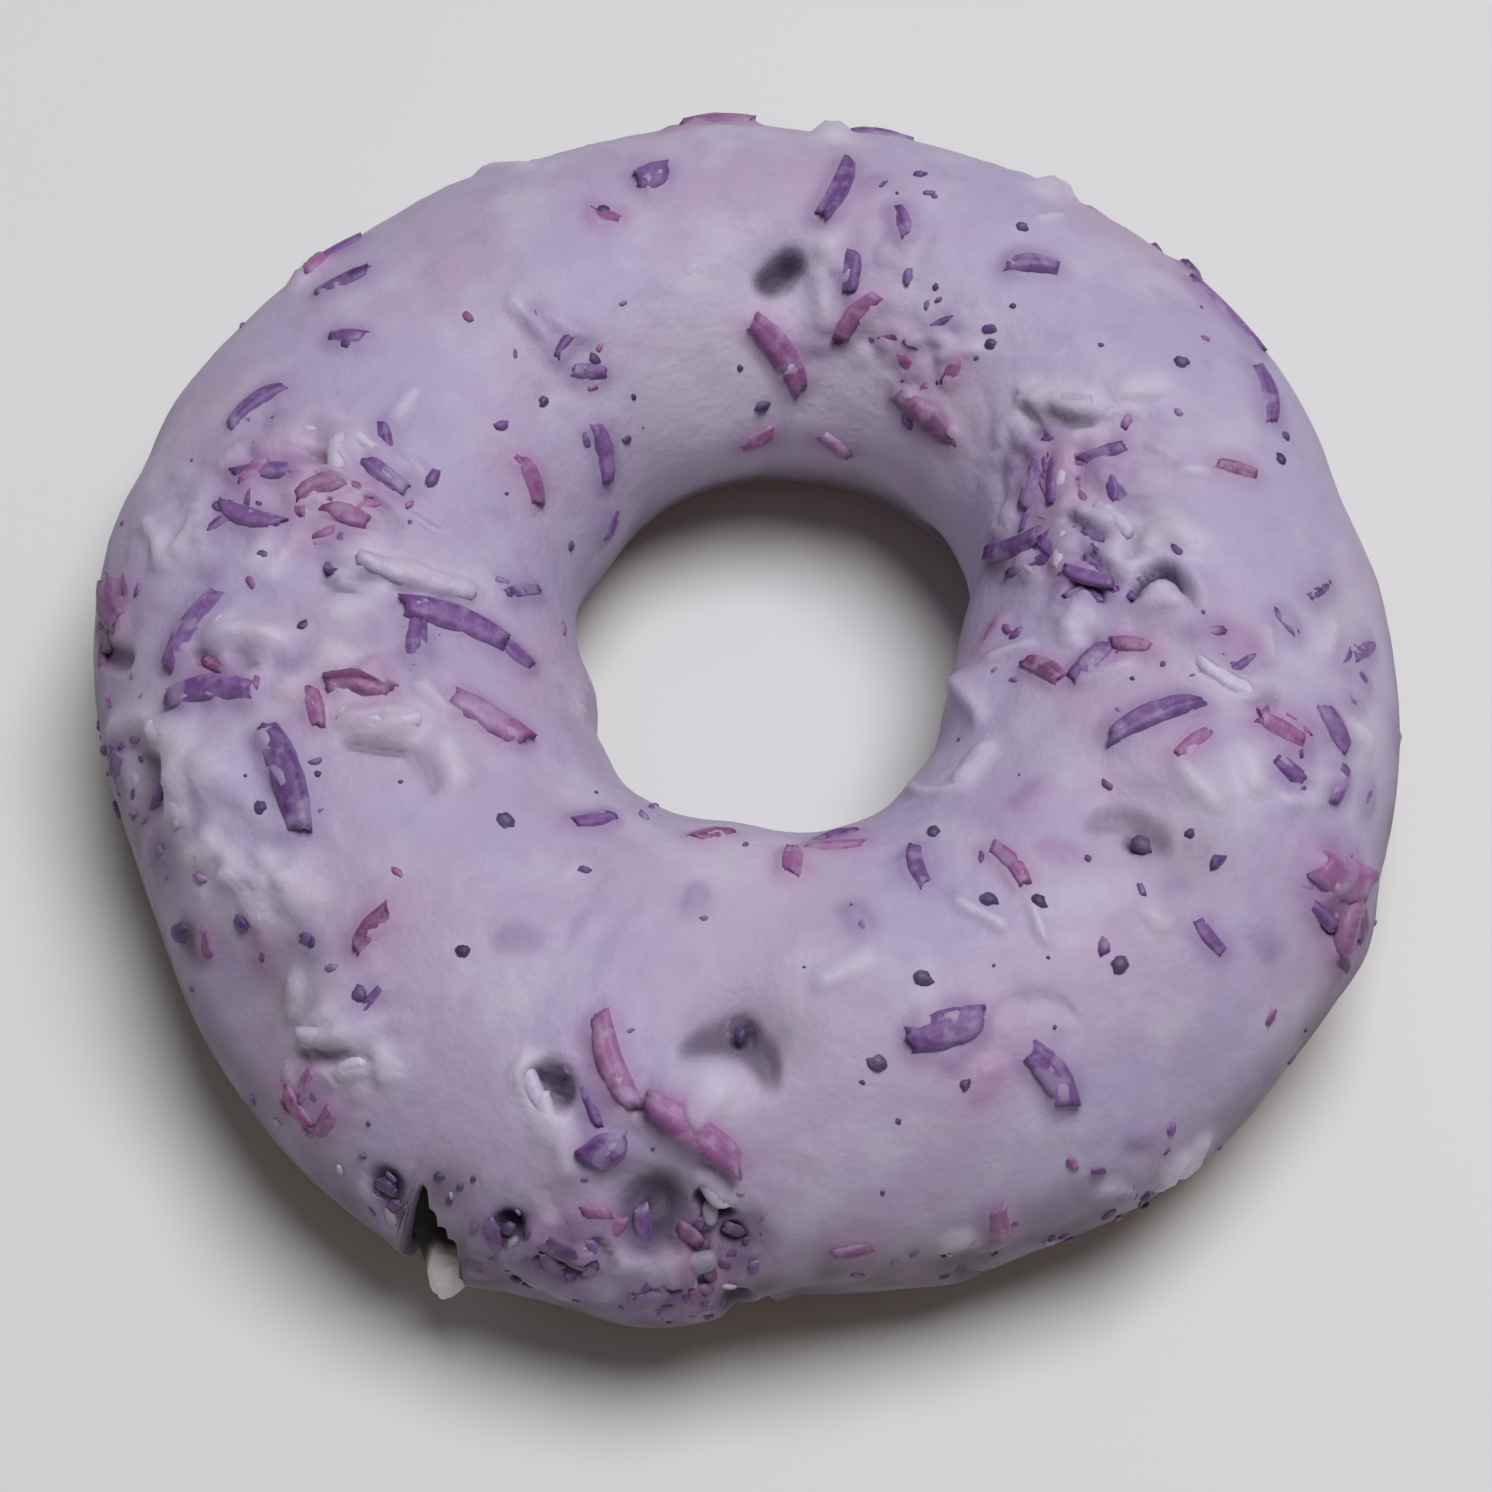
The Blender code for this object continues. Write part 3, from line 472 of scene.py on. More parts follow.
def directions(round_deg, over_deg, step=0.1):
    """Unit vectors along the ring, over the dough and out of it, from points this many degrees apart."""
    along = unit(ring_point(round_deg + step, over_deg) - ring_point(round_deg - step, over_deg))
    over = ring_point(round_deg, over_deg + step) - ring_point(round_deg, over_deg - step)
    over = unit(over - along * (over * along).sum(axis=-1, keepdims=True))
    return along, over, np.cross(along, over)


def lumps_height(here, lumps):
    """How far these lumps raise the points."""
    height = np.zeros(here.shape[:-1])
    for lump_round, lump_over, reach, rise in lumps:
        height = height + rise * MM * fade(distance(here, ring_point(lump_round, lump_over)), reach * MM)
    return height


def relief(round_deg, over_deg, lumps):
    """How far the surface stands out from the smooth ring. It dies out towards the base, which stays flat."""
    here = ring_point(round_deg, over_deg)
    height = lumps_height(here, lumps)
    for waves_round, waves_over, swell, start in SWELLS:
        round_swing = np.sin(np.radians(waves_round * round_deg + start))
        over_swing = np.cos(np.radians(waves_over * over_deg))
        height = height + swell * MM * round_swing * over_swing
    return height * ramp(here[..., 2], 0, BASE_FADE)


def surface(round_deg, over_deg, depth=0.0, lumps=LUMPS):
    """The doughnut's points with its lumps, at a depth under the icing."""
    out = directions(round_deg, over_deg)[2]
    return ring_point(round_deg, over_deg, depth) + out * relief(round_deg, over_deg, lumps)[..., None]


def icing_edges(round_deg):
    """The over angles at which the icing ends on the rim and in the hole."""
    gaps = 0 * round_deg
    for centre, half_width, rise in RIM_EDGE_GAPS:
        gaps = np.maximum(gaps, rise * fade(degrees_from(centre, round_deg), half_width, GAP_STEEPNESS))
    return wavy(RIM_EDGE, RIM_EDGE_WAVES, round_deg) + gaps, wavy(HOLE_EDGE, HOLE_EDGE_WAVES, round_deg)


def grain(points, height, size_mm, offset):
    """Smooth chance values up to about this height either way, that change over this many millimetres."""
    scaled = points.reshape(-1, 3) / (size_mm * MM) + offset
    values = [noise.fractal(place, *GRAIN_KIND) for place in scaled.tolist()]
    return height * np.array(values).reshape(points.shape[:-1])


def share_at(points, places):
    """How strongly these places reach the points. Each is round, over, reach in mm and strength."""
    share = np.zeros(points.shape[:-1])
    for place_round, place_over, reach, strength in places:
        away = distance(points, ring_point(place_round, place_over))
        share = np.maximum(share, strength * fade(away, reach * MM))
    return share


def thinness_and_shade(points, over_deg):
    """How thin the icing lies at these points, from 0 to 1, which also sets how much painted shade they get.
    """
    thin_and_shade = np.maximum(THIN_AND_SHADE_AT_RIM * ramp(over_deg, *THIN_AND_SHADED_RIM), ramp(over_deg, *THIN_AND_SHADED_HOLE))
    thin_and_shade = np.maximum(thin_and_shade, share_at(points, THIN_AND_SHADED_PLACES))
    return thin_and_shade * (1 - share_at(points, THICK_AND_LIT_PLACES))


# ---------------------------------------------------------------- meshes

def new_object(name, points, faces):
    mesh = bpy.data.meshes.new(name)
    mesh.from_pydata(points, [], faces)
    mesh.shade_smooth()
    made = bpy.data.objects.new(name, mesh)
    bpy.context.scene.collection.objects.link(made)
    return made


def closed_grid(name, points):
    """A mesh over rows and columns of points, which closes on itself both ways."""
    rows, columns = points.shape[:2]
    here = np.arange(rows * columns).reshape(rows, columns)
    ahead = np.roll(here, -1, axis=0)
    faces = np.stack([here, ahead, np.roll(ahead, -1, axis=1), np.roll(here, -1, axis=1)], axis=-1)
    return new_object(name, points.reshape(-1, 3).tolist(), faces.reshape(-1, 4).tolist())


def write_values(piece, name, values):
    """Stores one number for each of the piece's points, for its material to read."""
    attribute = piece.data.attributes.new(name, "FLOAT", "POINT")
    attribute.data.foreach_set("value", np.asarray(values, np.float32).ravel())


def points_of(piece):
    points = np.empty(len(piece.data.vertices) * 3, np.float32)
    piece.data.vertices.foreach_get("co", points)
    return points.reshape(-1, 3).astype(float)


def move_points(piece, points):
    piece.data.vertices.foreach_set("co", np.asarray(points, np.float32).ravel())
    piece.data.update()


def section_places(count):
    """The round angles of the sections, which stand closer together at the gaps."""
    even = np.arange(3600) / 10
    near_gap = np.max([fade(degrees_from(gap[0], even), CROWD_REACH) for gap in RIM_EDGE_GAPS], axis=0)
    crowd = 1 + CROWDING / (1 - CROWDING) * near_gap
    passed = np.concatenate([[0], np.cumsum(crowd)])
    return np.interp(np.arange(count) * passed[-1] / count, passed, np.append(even, 360))[:, None]


def dough_ring(name):
    """The fried ring: smooth under the icing, wrinkled and pitted where the crust is bare, torn in a gap,
    with a painted shadow in its crevice and its torn crumb lightened as painted light.
    """
    round_deg = section_places(DOUGH_ROUND)
    edge, hole = icing_edges(round_deg)
    rim = wavy(RIM_EDGE, RIM_EDGE_WAVES, round_deg)
    seat = rim + (hole - rim) * np.linspace(0, 1, DOUGH_SEAT + 1) ** SEAT_CROWDING
    base = hole + (rim + 360 - hole) * np.linspace(0, 1, DOUGH_BASE + 1)[1:-1]
    over_deg = np.concatenate([seat, base], axis=1)
    round_deg = np.broadcast_to(round_deg, over_deg.shape)
    points = surface(round_deg, over_deg, DOUGH_TOP, LUMPS + TORN_DOUGH + FINE_TEARS)
    in_gaps = edge - over_deg
    on_base = np.minimum(over_deg - hole, edge + 360 - over_deg)
    bare = ramp(np.maximum(in_gaps, on_base), 0, BARE_FADE)
    wrinkles = grain(points, *CRUST_WAVES) - np.abs(grain(points, *CRUST_CRACKS))
    flat = ramp(points[..., 2], 0, BASE_FADE)
    out = directions(round_deg, over_deg)[2]
    made = closed_grid(name, points + out * (wrinkles * MM * bare * flat)[..., None])
    above_rim = (over_deg + 90) % 360 - 90
    in_gap = ramp(np.abs(round_deg - TOOTH_ROUND[0]), *TEAR_REACH) * (above_rim < 90)
    tooth = ramp(round_deg, *TOOTH_ROUND) * ramp(above_rim, *TOOTH_OVER)
    write_values(made, "torn", in_gap * tooth * ramp(above_rim, *TORN_OVER))
    write_values(made, "crevice_shadow", in_gap * (1 - tooth) * ramp(above_rim, *CREVICE_SHADOW_OVER))
    return made


def coat_sections():
    """The icing's points: over its outside, round the hole's lip, back under and round the rim's lip."""
    round_deg = section_places(COAT_ROUND)
    rim, hole = icing_edges(round_deg)

    def columns(share):
        return RIM_EDGE + (hole - RIM_EDGE) * share + (rim - RIM_EDGE) * (1 - share) ** EDGE_HOLD

    outside = columns(np.interp(np.linspace(0, 1, COAT_OVER + 1), COLUMN_NUMBERS, COLUMN_PLACES))
    under = columns(np.linspace(1, 0, COAT_UNDER + 1))
    bend = np.linspace(0, np.pi, LIP_STEPS + 2)[1:-1]
    lip_depth = ICING * (1 - np.cos(bend)) / 2 + 0 * rim
    over_deg = np.concatenate([outside, hole + LIP * np.sin(bend), under, rim - LIP * np.sin(bend)], axis=1)
    seat = np.full(under.shape, COAT_BOTTOM)
    depth = np.concatenate([np.zeros(outside.shape), lip_depth, seat, lip_depth[:, ::-1]], axis=1)
    return np.broadcast_to(round_deg, over_deg.shape), over_deg, depth


# ---------------------------------------------------------------- curls

class Curl:
    """Where a curl lies: its middle, its three directions (ahead, across, out) and its sizes in metres."""

    def __init__(self, place, bow, coat, smeared=1):
        round_deg, over_deg, turn_deg, length, width = place
        along, over, out = directions(round_deg, over_deg)
        turn = np.radians(turn_deg)
        ahead = along * np.cos(turn) + over * np.sin(turn)
        self.axes = np.stack([ahead, np.cross(out, ahead), out])
        self.middle = np.array(coat.closest_point_on_mesh(Vector(surface(round_deg, over_deg)))[1])
        self.length = length * MM
        self.width = width * MM
        self.bow = bow
        self.smeared = smeared
        self.tint = (0.37 * round_deg + 0.73 * over_deg) % 1  # unlike its neighbours', and fixed by its place
        # how much the thin icing's dark tone and painted shade darken this curl
        self.curl_thin_and_shade = float(thinness_and_shade(ring_point(round_deg, over_deg), over_deg))

    def beside(self, points):
        """The points near the curl, and how far in millimetres each lies from its middle line."""
        near = np.flatnonzero(distance(points, self.middle) < self.length / 2 + NEARBY)
        ahead, across, _ = self.axes @ (points[near] - self.middle).T
        across = across - self.bow * self.length * ((2 * ahead / self.length) ** 2 - 0.5)
        past_end = np.maximum(np.abs(ahead) - (self.length - self.width) / 2, 0)
        return near, np.hypot(past_end, across) / MM


def far_curls(chance):
    """Curls spread along the far rim, each in its own stretch of it."""
    first, last = FAR_ROUND
    for number in range(FAR_CURLS):
        round_deg = first + (last - first) * (number + chance.random()) / FAR_CURLS
        yield round_deg, *(chance.uniform(*limits) for limits in FAR_LIMITS)


def lay_curls(coat):
    """The curls of each colour, in the places and with the bows that the solids have."""
    chance = random.Random(CURL_SEED)
    far = list(far_curls(chance))
    places = [*VIOLET_CURLS, *PINK_CURLS, *PALE_CURLS, *far]
    laid = [Curl(place, chance.uniform(-CURL_BOW, CURL_BOW), coat) for place in places]
    pink_from = len(VIOLET_CURLS)
    pale_from = pink_from + len(PINK_CURLS)
    far_from = pale_from + len(PALE_CURLS)
    return {
        "violet": laid[:pink_from] + laid[far_from::2],
        "pink": laid[pink_from:pale_from] + laid[far_from + 1::4],
        "pale": laid[pale_from:far_from] + laid[far_from + 3::4],
    }


def given_bits(rows, coat, turn_step, length, width, smeared=1):
    """Bits at these places, each turned further than the last. Length and width are shares of its size."""
    return [
        Curl((bit_round, bit_over, turn_step * number % 180, length * size, width * size), 0, coat, smeared)
        for number, (bit_round, bit_over, size) in enumerate(rows)
    ]


def scattered(count, sizes, slimness, patch_share, chance, coat, patches=ROUGH_PATCHES):
    """Bits strewn by chance: some in these patches, the others anywhere, and none on the bare places."""
    bits = []
    while len(bits) < count:
        if chance.random() < patch_share:
            patch_round, patch_over, reach, _ = chance.choice(patches)
            round_deg = patch_round + chance.gauss(0, PATCH_SPREAD) * reach * DEGREES_ROUND_PER_MM
            over_deg = patch_over + chance.gauss(0, PATCH_SPREAD) * reach * DEGREES_OVER_PER_MM
        else:
            round_deg = chance.uniform(0, 360)
            over_deg = chance.uniform(*STREWN_OVER)
        rim, hole = icing_edges(round_deg)
        if not rim + EDGE_MARGIN < over_deg < hole - EDGE_MARGIN:
            continue
        size = chance.uniform(*sizes)
        place = (round_deg, over_deg, chance.uniform(-90, 90), size, size * chance.uniform(*slimness))
        bits.append(Curl(place, 0, coat))
    return [bit for bit in bits if share_at(bit.middle, BARE_PLACES) < BARE_SHARE]


def curl_mesh(curl, shape, chance):
    """One curl's points and faces: a shaved roll with a groove along it and torn, hollow ends. Also gives how
    high each point is on the roll, and how light the streak that it is on."""
    share = np.linspace(-1, 1, shape.stations)[:, None]
    angle = np.linspace(0, 2 * np.pi, shape.sides, endpoint=False)[None, :]
    groove_at = np.radians(chance.uniform(*GROOVE_AT) + chance.uniform(*GROOVE_TWIST) * share)
    off_groove = (angle - groove_at + np.pi) % (2 * np.pi) - np.pi
    rough = np.array([[chance.uniform(-1, 1) for _ in range(shape.sides)] for _ in range(shape.stations)])
    radius = (0.5 - shape.groove * fade(off_groove, shape.groove_width)) * (1 + shape.unevenness * rough)
    slim = 1 - shape.taper * np.abs(share) ** shape.bluntness
    length, width, thickness = curl.length, curl.width, curl.width * shape.depth
    slant = np.where(share < 0, chance.uniform(*SLANT), chance.uniform(*SLANT))
    side, rise = radius * np.cos(angle), radius * np.sin(angle)
    torn = shape.torn * width * rough * np.abs(share) ** 8  # close to the ends alone
    sag = CURL_SAG / MM * (share * length / 2) ** 2
    ahead = share * length / 2 + slant * side * width * np.abs(share) ** 3 - torn
    across = side * width * slim + curl.bow * length * (share ** 2 - 0.5)
    out = rise * thickness * slim + shape.lift * thickness - sag
    skin = np.stack([ahead, across, out], axis=-1)
    caps = [skin[end].mean(axis=0) - (shape.hollow * width * share[end, 0], 0, 0) for end in (0, -1)]
    points = curl.middle + np.concatenate([skin.reshape(-1, 3), caps]) @ curl.axes
    here = np.arange(rough.size).reshape(rough.shape)
    right = np.roll(here, -1, axis=1)
    walls = np.stack([here[:-1], here[1:], right[1:], right[:-1]], axis=-1).reshape(-1, 4)
    faces = [tuple(wall) for wall in walls.tolist()]
    faces += [(rough.size, a, b) for a, b in zip(here[0].tolist(), right[0].tolist())]
    faces += [(rough.size + 1, b, a) for a, b in zip(here[-1].tolist(), right[-1].tolist())]
    line = np.array([chance.uniform(0, 1) for _ in range(shape.sides)])
    values = [np.append(part.ravel(), [0, 0]) for part in (rise * 2, line + 0.15 * rough)]
    return points, faces, *values


def curls_piece(name, curls, whole, broken, chance):
    """All the curls of one colour as one piece, with values that its material reads."""
    points, faces, values = [], [], {"height": [], "streak": [], "tint": [], "curl_thin_and_shade": []}
    start = 0
    for curl in curls:
        shape = whole if curl.length > BIT_LENGTH else broken
        own_points, own_faces, height, streak = curl_mesh(curl, shape, chance)
        points.append(own_points)
        faces += [tuple(start + corner for corner in face) for face in own_faces]
        start += len(own_points)
        even = np.ones(len(own_points))
        for key, part in zip(values, (height, streak, even * curl.tint, even * curl.curl_thin_and_shade)):
            values[key].append(part)
    made = new_object(name, np.concatenate(points).tolist(), faces)
    for key, parts in values.items():
        write_values(made, key, np.concatenate(parts))
    return made


# ---------------------------------------------------------------- the icing coat

def icing_coat(name):
    """The coat before any curl lies in it. Also gives its outward directions, which points are outside, how
    far in millimetres its own unevenness raises it, and how thin it lies, which also sets its painted shade."""
    round_deg, over_deg, depth = coat_sections()
    points = surface(round_deg, over_deg, depth)
    out = directions(round_deg, over_deg)[2]
    outside = ramp(depth, ICING, 0)
    thin_and_shade = np.clip(thinness_and_shade(points, over_deg) * (1 + grain(points, *THIN_AND_SHADE_DRIFT)), 0, 1)
    rough = share_at(points, ROUGH_PATCHES)
    lobes = rough * (np.abs(grain(points, *COAT_LOBES)) - LOBE_SINK)
    crumbly = (CRUMB_HEIGHTS[0] + CRUMB_HEIGHTS[1] * rough) * grain(points, *COAT_CRUMBS)
    raised = lumps_height(points, ICING_LUMPS) / MM + grain(points, *COAT_SWELLS) + lobes + crumbly
    coat = closed_grid(name, points + out * (raised * MM * outside)[..., None])
    write_values(coat, "thin_and_shade", thin_and_shade)
    write_values(coat, "thick_and_lit", share_at(points, THICK_AND_LIT_PLACES))
    return coat, out.reshape(-1, 3), outside.ravel(), raised.ravel(), thin_and_shade.ravel()


def raise_to(values, near, least):
    """Raises the values of the points that are near to at least these."""
    values[near] = np.maximum(values[near], least)


def set_in_icing(coat, out, outside, raised, thin_and_shade, laid, covered, creases):
    """Raises the icing over covered curls and round the others, sinks the creases, and marks the stains, a
    painted highlight on the covered curls' crests and painted shade in the creases and pits.
    """
    points = points_of(coat)
    smeary = ramp(grain(points, *SMEARY), *SMEAR_RANGE)
    smears = {"violet": smeary, "pink": smeary, "pale": PALE_LEAST + (1 - PALE_LEAST) * smeary}
    rise = np.zeros(len(points))
    marks = {name: np.zeros(len(points)) for name in ("violet", "pink", "pale", "hollow")}
    for curl in covered:
        near, away = curl.beside(points)
        width = curl.width / MM
        crest = fade(away, COVER_REACH * width)
        raise_to(rise, near, COVER_RISE * np.sqrt(width) * crest)
        # the crest is painted paler: the white curl under the icing, with a painted highlight where light
        # catches it
        raise_to(marks["pale"], near, crest ** 2)
    for colour, curls in laid.items():
        climb, smear, smear_reach = CLIMBS[colour]
        for curl in curls:
            near, away = curl.beside(points)
            width = curl.width / MM
            gap = np.maximum(away - width / 2, 0)
            over_it = fade(away, smear_reach * width, STEEP) * smears[colour][near]
            raise_to(rise, near, climb * fade(gap, CREEP_REACH))
            raise_to(rise, near, smear * curl.smeared * width * over_it)
            raise_to(marks[colour], near, fade(gap, BLEED_REACH))
        marks[colour] = np.maximum(marks[colour], share_at(points, STAINED_PLACES.get(colour, ())))
    # deep creases and the pits get painted shade in the icing's colour
    for crease, depth in creases:
        near, away = crease.beside(points)
        sunk = fade(away, CREASE_REACH * crease.width / MM, STEEP)
        rise[near] -= depth * sunk
        raise_to(marks["hollow"], near, sunk * ramp(depth, *CREASE_SHADE_DEPTHS))
    for pit_round, pit_over, reach, depth, painted_shade in PITS:
        sunk = fade(distance(points, surface(pit_round, pit_over)), reach * MM, STEEP)
        rise -= depth * sunk
        marks["hollow"] = np.maximum(marks["hollow"], painted_shade * sunk)
    marks["pale"] *= 1 - THIN_AND_SHADE_DULLS * thin_and_shade
    rise = np.maximum(rise, -DEEPEST - raised)
    move_points(coat, points + out * (rise * MM * outside)[:, None])
    for name, mark in marks.items():
        write_values(coat, name, mark * outside)


# ---------------------------------------------------------------- materials

def paint(code):
    """A colour given as an sRGB hex code, in the linear values that Blender uses."""
    channels = [int(code[place:place + 2], 16) / 255 for place in (1, 3, 5)]
    return (*(c / 12.92 if c <= 0.04045 else ((c + 0.055) / 1.055) ** 2.4 for c in channels), 1)


def add(tree, kind, settings, **links):
    """Adds a node. settings are its properties, then its sockets' values. links join outputs to its sockets,
    and a whole node stands for its first output."""
    node = tree.nodes.new("ShaderNode" + kind)
    for key, value in settings.items():
        if key in node.bl_rna.properties:
            setattr(node, key, value)
        else:
            live(node.inputs, key).default_value = value
    for key, source in links.items():
        if isinstance(source, bpy.types.Node):
            source = live(source.outputs)
        tree.links.new(source, live(node.inputs, key.replace("_", " ")))
    return node


def live(sockets, name=None):
    """The first socket in use, or the first in use that has this name."""
    return next(socket for socket in sockets if socket.enabled and name in (None, socket.name))


def new_material(name):
    """A material with nothing in it yet, its tree, and the place on the piece that its patterns go by."""
    made = bpy.data.materials.new(name)
    made.use_nodes = True
    made.node_tree.nodes.clear()
    return made, made.node_tree, add(made.node_tree, "TexCoord", {}).outputs["Object"]


def stored(tree, *names):
    """The values that a piece's points carry under these names."""
    return [add(tree, "Attribute", {"attribute_name": name}).outputs["Fac"] for name in names]


def blotches(tree, where, size, detail, low, high, values=(0, 1)):
    """Blotches of this real size: the first value where their pattern is low, the second where it is high."""
    clouds = add(tree, "TexNoise", {"Scale": 1 / size, "Detail": detail}, Vector=where)
    limits = {"From Min": low, "From Max": high, "To Min": values[0], "To Max": values[1]}
    return add(tree, "MapRange", limits, Value=clouds)


def uneven(tree, where, layers):
    """A skin's fine unevenness, in layers. Each gives the real size of its features and their height."""
    under = {}
    for size, height in layers:
        rises = add(tree, "TexNoise", {"Scale": 1 / size, "Detail": 3}, Vector=where)
        under["Normal"] = add(tree, "Bump", {"Distance": height}, Height=rises, **under)
    return under["Normal"]


def laid_over(tree, ground, layers):
    """Colours laid over a ground colour. Each gives where it shows, how strongly it covers and its code."""
    under = {}
    for share, strength, code in layers:
        cover = add(tree, "MapRange", {"To Max": strength}, Value=share)
        mix = {"data_type": "RGBA", "A": paint(ground), "B": paint(code)}
        under["A"] = add(tree, "Mix", mix, Factor=cover, **under)
    return under["A"]


def lilac_icing_material():
    """Set sugar icing, poured while warm: satin, slightly see-through, uneven where its tint didn't mix."""
    made, tree, where = new_material("set_sugar_icing")
    drift = blotches(tree, where, 14 * MM, 2, 0.4, 0.6)
    bloom = blotches(tree, where, 6 * MM, 3, 0.5, 0.72)
    blot = blotches(tree, where, 2.5 * MM, 4, 0.55, 0.75)
    thin_and_shade, thick_and_lit, pale, violet = stored(tree, "thin_and_shade", "thick_and_lit", "pale", "violet")
    pink, hollow = stored(tree, "pink", "hollow")
    colour = laid_over(tree, "#B8ACCC", (
        (drift, 1, "#BCA8C4"), (bloom, 1, "#C6BCD2"), (blot, 0.4, "#A898B2"),
        # the pale layer: covered curls' crests, white curl and painted highlight together
        # the thick layer: pale icing where it ran together, with painted light on the hole's far wall
        # the thin layer: the crust's darker tone under thin icing, with painted shade at the rim, the hole's
        # edge and listed places
        (thin_and_shade, 0.95, "#57454E"), (thick_and_lit, 0.85, "#DED7E8"), (pale, 0.6, "#DAD1E2"),
        # the hollow layer: painted shade in creases and pits
        (violet, 0.45, "#8C6FA4"), (pink, 0.45, "#AC7AA6"), (hollow, 0.95, "#30263F"),
    ))
    sheen = blotches(tree, where, 4 * MM, 3, 0.35, 0.65, (0.5, 0.65))
    skin = uneven(tree, where, ((1.6 * MM, 0.12 * MM), (0.5 * MM, 0.05 * MM)))
    feel = {
        "IOR": 1.45, "Subsurface Weight": 0.15, "Subsurface Radius": (1.0, 0.7, 0.9),
        "Subsurface Scale": 0.5 * MM,
    }
    shader = add(tree, "BsdfPrincipled", feel, Base_Color=colour, Roughness=sheen, Normal=skin)
    add(tree, "OutputMaterial", {}, Surface=shader)
    return made


def curl_material(name, dark, middle, light, wet=0.6):
    """Cocoa butter icing, coloured and shaved off a block: waxy, streaked, smeared with the lilac icing."""
    made, tree, where = new_material(name)
    tint, streak, height, curl_thin_and_shade = stored(tree, "tint", "streak", "height", "curl_thin_and_shade")
    scuff = blotches(tree, where, 0.9 * MM, 3, 0.48, 0.72)
    low = add(tree, "MapRange", {"From Min": 0.6, "From Max": -0.3}, Value=height)
    smear = blotches(tree, where, 2.2 * MM, 3, 0.52, 0.62)
    colour = laid_over(tree, dark, (
        (tint, 1, middle), (streak, 0.35, light), (scuff, 0.5, light),
        # the last layer darkens curls that lie in thin icing, partly as painted shade
        (low, wet, "#AE9ABE"), (smear, 0.8 * wet, "#B5A4C4"), (curl_thin_and_shade, 0.6, "#4A3B4E"),
    ))
    feel = {"IOR": 1.46, "Roughness": 0.5, "Subsurface Weight": 0.1, "Subsurface Scale": 0.6 * MM}
    skin = uneven(tree, where, ((0.35 * MM, 0.06 * MM),))
    shader = add(tree, "BsdfPrincipled", feel, Base_Color=colour, Normal=skin)
    add(tree, "OutputMaterial", {}, Surface=shader)
    return made


def fried_dough_material():
    """Cake dough fried in oil: a dry golden-brown crust, paler under the icing's edge, with darker pits. In
    the gap it has a painted shadow in the crevice and a torn crumb lightened as painted light.
    """
    made, tree, where = new_material("fried_cake_dough")
    torn, crevice_shadow = stored(tree, "torn", "crevice_shadow")
    level = add(tree, "SeparateXYZ", {}, Vector=where).outputs["Z"]
    high = add(tree, "MapRange", {"From Min": 0.5 * MM, "From Max": 6 * MM}, Value=level)
    scorch = blotches(tree, where, 5 * MM, 3, 0.35, 0.65)
    pore = blotches(tree, where, 1.1 * MM, 4, 0.52, 0.7)
    colour = laid_over(tree, "#85582F", (
        (scorch, 1, "#9E6E40"), (high, 0.75, "#C19A69"), (pore, 0.6, "#64401F"),
        # the gap's crevice is painted near black as shadow
        # the torn crumb's near white is its pale colour lightened as painted light, against the overhang's
        # shade
        (torn, 1, "#F2E6E8"), (crevice_shadow, 1, "#140C10"),
    ))
    skin = uneven(tree, where, ((2 * MM, 0.2 * MM), (0.6 * MM, 0.15 * MM)))
    shader = add(tree, "BsdfPrincipled", {"IOR": 1.45, "Roughness": 0.7}, Base_Color=colour, Normal=skin)
    add(tree, "OutputMaterial", {}, Surface=shader)
    return made


def floor_material():
    """A matt painted board, with a faint unevenness of tone."""
    made, tree, where = new_material("matt_board")
    stroke = blotches(tree, where, 40 * MM, 2, 0.3, 0.7)
    tone = laid_over(tree, "#EAEAE9", ((stroke, 1, "#ECECEC"),))
    shader = add(tree, "BsdfPrincipled", {"Roughness": 0.8}, Base_Color=tone)
    add(tree, "OutputMaterial", {}, Surface=shader)
    return made


# ---------------------------------------------------------------- the doughnut

